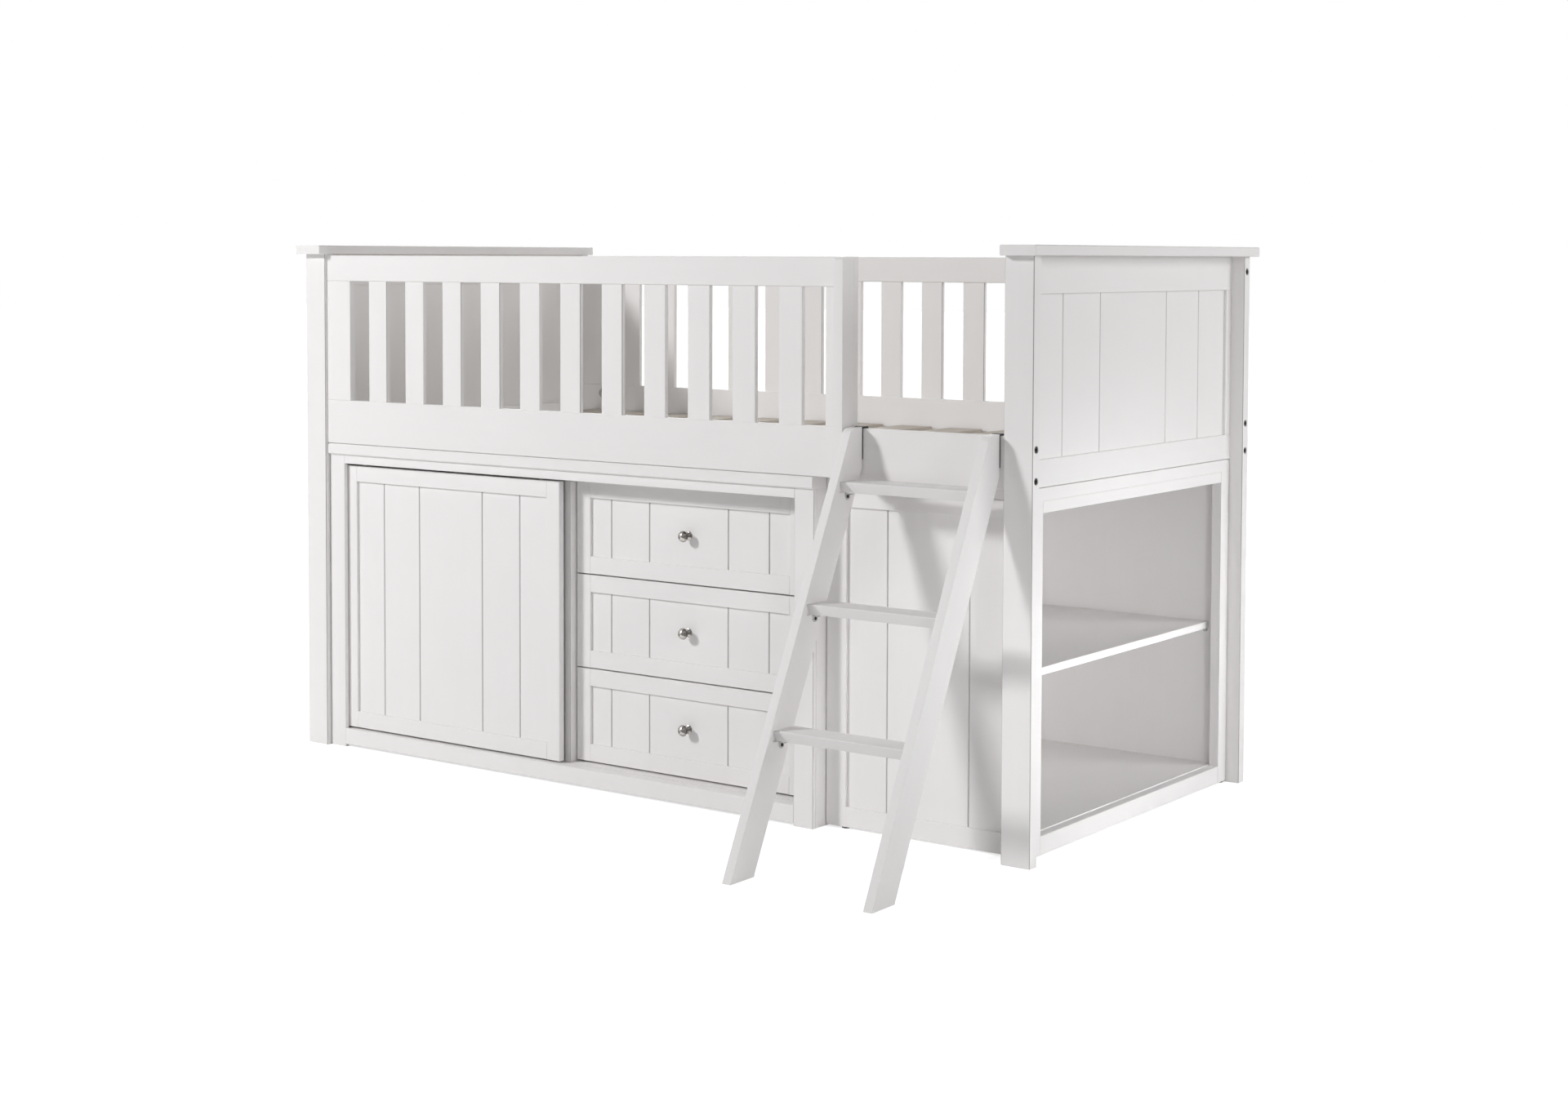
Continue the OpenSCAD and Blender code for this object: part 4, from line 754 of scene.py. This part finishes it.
def bent(corners, radius, thick, steps=8):
    """The outline of a strip bent round along its corners, at right angles."""
    middle = [corners[0]]
    for before, at, after in zip(corners, corners[1:], corners[2:]):
        into, out = (at - before).normalized(), (after - at).normalized()
        start, hub = at - into * radius, at - into * radius + out * radius
        for i in range(steps + 1):
            turned = math.pi / 2 * i / steps
            middle.append(hub + (start - hub) * math.cos(turned) + into * radius * math.sin(turned))
    middle.append(corners[-1])
    sides = []
    for i, point in enumerate(middle):
        way = (middle[min(i + 1, len(middle) - 1)] - middle[max(i - 1, 0)]).normalized()
        sides.append((point, Vector((-way.y, way.x)) * thick / 2))
    return [p + n for p, n in sides] + [p - n for p, n in reversed(sides)]


HOOK_EDGE = 0.4 * MM
HOOK_BEND = 0.9                # the radius of a hook's bends at the middle of its steel, as a
                               # share of its thickness


def make_hooks(node):
    """Flat steel bent over the side rail, with round bends."""
    mesh = bmesh.new()
    ys, zs = levels_of(node, 1), levels_of(node, 2)
    thick = ys[1] - ys[0]
    top = zs[-1] - thick / 2
    front, back = ys[0] + thick / 2, ys[-1] - thick / 2
    corners = [Vector((front, zs[0])), Vector((front, top)), Vector((back, top)),
               Vector((back, zs[1]))]
    outline = bent(corners, thick * HOOK_BEND, thick)
    for low, high in solids_of(node):
        plate(mesh, outline, high.x - low.x, ACROSS * low.x, BACK, UP, ACROSS)
    bmesh.ops.recalc_face_normals(mesh, faces=mesh.faces)
    round_edges(mesh, HOOK_EDGE)
    mesh.normal_update()
    lay_places(mesh)
    fitting(f"{node}_bent", mesh, "black_lacquer", node)


# ---------- The floor, the backdrop and the light ----------

FLOOR_TONE = (0.88, 0.88, 0.88, 1.0)
FLOOR_REACH = 40.0
FLOOR_GAP = 0.2 * MM
ROOM_LIGHT = 0.66              # strength of the room's light where it is strongest
ROOM_LIGHT_FROM = (0.90, -0.44, 0.0)  # the right, and less the front
NEAR_GLOW = 0.65               # how far the paper shows as lit by itself, beside the bed
LIT_REACH = (1.6, 4.5)         # from here to there the studio's light on the paper fades out


def seen_directly(tree):
    """1 where the camera, a mirror or a pane looks at the surface."""
    rays = add(tree, "LightPath")
    seen = maths(tree, "MAXIMUM", rays.outputs["Is Camera Ray"], rays.outputs["Is Glossy Ray"])
    return maths(tree, "MAXIMUM", seen, rays.outputs["Is Transmission Ray"])


def floor_finish():
    """White studio paper: it keeps the object's shadow and shows as white where it is lit."""
    material = bpy.data.materials.new("studio_paper")
    material.use_nodes = True
    tree = material.node_tree
    tree.nodes.clear()
    fibre = add(tree, "TexNoise", {"Scale": 60.0, "Detail": 3.0})
    paper = add(tree, "BsdfPrincipled", {"Base Color": FLOOR_TONE,
                                         "Roughness": spread(tree, fibre.outputs[0], 0, 1, 0.8, 1)})
    paper.inputs["Specular IOR Level"].default_value = 0.0
    place = add(tree, "TexCoord")
    away = add(tree, "VectorMath", {0: place.outputs["Object"]}, operation="LENGTH")
    level = spread(tree, away.outputs["Value"], *LIT_REACH, NEAR_GLOW, 1.0)
    glow = add(tree, "Emission",
               {"Strength": maths(tree, "MULTIPLY", seen_directly(tree), level)})
    both = add(tree, "AddShader", {0: paper.outputs[0], 1: glow.outputs[0]})
    add(tree, "OutputMaterial", {"Surface": both.outputs[0]})
    return material


def lay_floor():
    """The studio's paper, just under the bed's feet."""
    data = bpy.data.meshes.new("studio_floor")
    reach = FLOOR_REACH
    corners = [(-reach, -reach, 0), (reach, -reach, 0), (reach, reach, 0), (-reach, reach, 0)]
    data.from_pydata(corners, [], [(0, 1, 2, 3)])
    floor = bpy.data.objects.new("studio_floor", data)
    floor.location.z = -FLOOR_GAP
    data.materials.append(floor_finish())
    bpy.context.scene.collection.objects.link(floor)


def light_world():
    """A pale room: white where the camera sees it, and a soft light from the right and front."""
    world = bpy.data.worlds.new("studio_room")
    world.use_nodes = True
    bpy.context.scene.world = world
    tree = world.node_tree
    tree.nodes.clear()
    way = add(tree, "TexCoord")
    toward = add(tree, "VectorMath", {0: way.outputs["Generated"], 1: ROOM_LIGHT_FROM},
                 operation="DOT_PRODUCT")
    level = maths(tree, "MULTIPLY", maths(tree, "MAXIMUM", toward.outputs["Value"], 0.0),
                  ROOM_LIGHT)
    room = add(tree, "Background", {"Color": WHITE, "Strength": level})
    white = add(tree, "Background", {"Color": WHITE, "Strength": 1.0})
    shown = add(tree, "MixShader", {0: seen_directly(tree), 1: room.outputs[0],
                                    2: white.outputs[0]})
    add(tree, "OutputWorld", {"Surface": shown.outputs[0]})


def softbox(name, place, target, size, power, spread_angle=180):
    """A rectangular lamp: metres, watts and degrees."""
    lamp = bpy.data.lights.new(name, "AREA")
    lamp.shape = "RECTANGLE"
    lamp.size, lamp.size_y = size
    lamp.energy = power
    lamp.spread = math.radians(spread_angle)
    holder = bpy.data.objects.new(name, lamp)
    holder.location = place
    holder.rotation_euler = (Vector(target) - Vector(place)).to_track_quat("-Z", "Y").to_euler()
    bpy.context.scene.collection.objects.link(holder)


def light_studio():
    """The room's light and the lamps: the key, two behind the bed and three at its right end."""
    light_world()
    softbox("key_left", (-3.6, -5.0, 3.8), (0.1, -0.2, 0.5), (1.0, 1.0), 258)
    softbox("back_left", (-3.0, 3.0, 3.0), (0.0, 0.0, 0.6), (2.5, 2.5), 140)
    softbox("back_right", (3.8, 1.9, 2.0), (0.9, 0.3, 0.6), (1.4, 1.4), 36)
    softbox("high_right", (4.6, -0.2, 1.2), (0.9, 0.1, 0.4), (1.2, 0.9), 1.6, 60)
    softbox("low_right", (3.6, -1.6, 0.4), (0.7, 0.3, 0.34), (0.8, 0.4), 0.9, 26)
    softbox("low_end", (4.0, 0.15, 0.34), (0.9, 0.15, 0.34), (0.6, 0.3), 0.42, 18)


# ---------- The making ----------

place_camera()
lay_floor()
light_studio()

PINE = ("base_slats", "drawer_runners", "drawer_bottom_box", "drawer_middle_box",
        "drawer_top_box")
SOFT_EDGED = ("left_cap", "right_cap", "guard_end_plank", "ladder_low_tread",
              "ladder_middle_tread", "ladder_top_tread")
LEANING = ("ladder_left_stile", "ladder_right_stile")
BOARD_EDGE = 0.4 * MM          # how round the edges are: of a board, of the boards that hands
SOFT_EDGE = 0.8 * MM           # and feet meet, of the pressed nuts and of the moulded guides
PRESSED_EDGE = 0.25 * MM
MOULDED_EDGE = 0.5 * MM
STILE_RISE = 3 * MM            # how much higher a stile's top is here than in its node
STILE_END = 60 * MM            # the length of the stile's end that is drawn up
TOP_CORNERS = 0.7              # corners of a stile this far above its foot are at its top
FITTINGS = {"rail_bolts": make_bolts, "shelf_pins": make_pins, "bookcase_glides": make_glides,
            "ladder_brackets": make_brackets, "ladder_hooks": make_hooks,
            **{f"drawer_{place}_knob": make_knob for place in ("bottom", "middle", "top")}}


def leaning_way(node):
    """The direction of a leaning stile, up along its front edge."""
    corners = [v.co for v in frame["nodes"][node].data.vertices]
    foot = min(corners, key=lambda c: (round(c.z, 4), c.y))
    tops = (c for c in corners if c.z > foot.z + TOP_CORNERS)
    front_top = min(tops, key=lambda c: (c - foot).angle(UP))
    return Vector((0, abs((front_top - foot).y), (front_top - foot).z)).normalized()


def raise_top(mesh):
    """Draws the end of a ladder stile up, so that it covers the front of its hook."""
    top = max(v.co.z for v in mesh.verts)
    for v in mesh.verts:
        share = (v.co.z - top + STILE_END) / STILE_END
        v.co.z += STILE_RISE * max(share, 0.0)


for node in sorted(frame["nodes"]):
    if node in FITTINGS:
        FITTINGS[node](node)
    elif node == "rail_nuts":
        dress(node, "grey_steel", PRESSED_EDGE, "pressed")
    elif node == "door_guides":
        dress(node, "nylon", MOULDED_EDGE, "moulded")
    elif node in PINE:
        dress(node, "pine", BOARD_EDGE, "planed")
    elif node in LEANING:
        dress(node, "white_paint", BOARD_EDGE, "painted", leaning_way(node), raise_top)
    else:
        dress(node, "white_paint", SOFT_EDGE if node in SOFT_EDGED else BOARD_EDGE, "painted")

bpy.context.scene.view_settings.view_transform = "Standard"
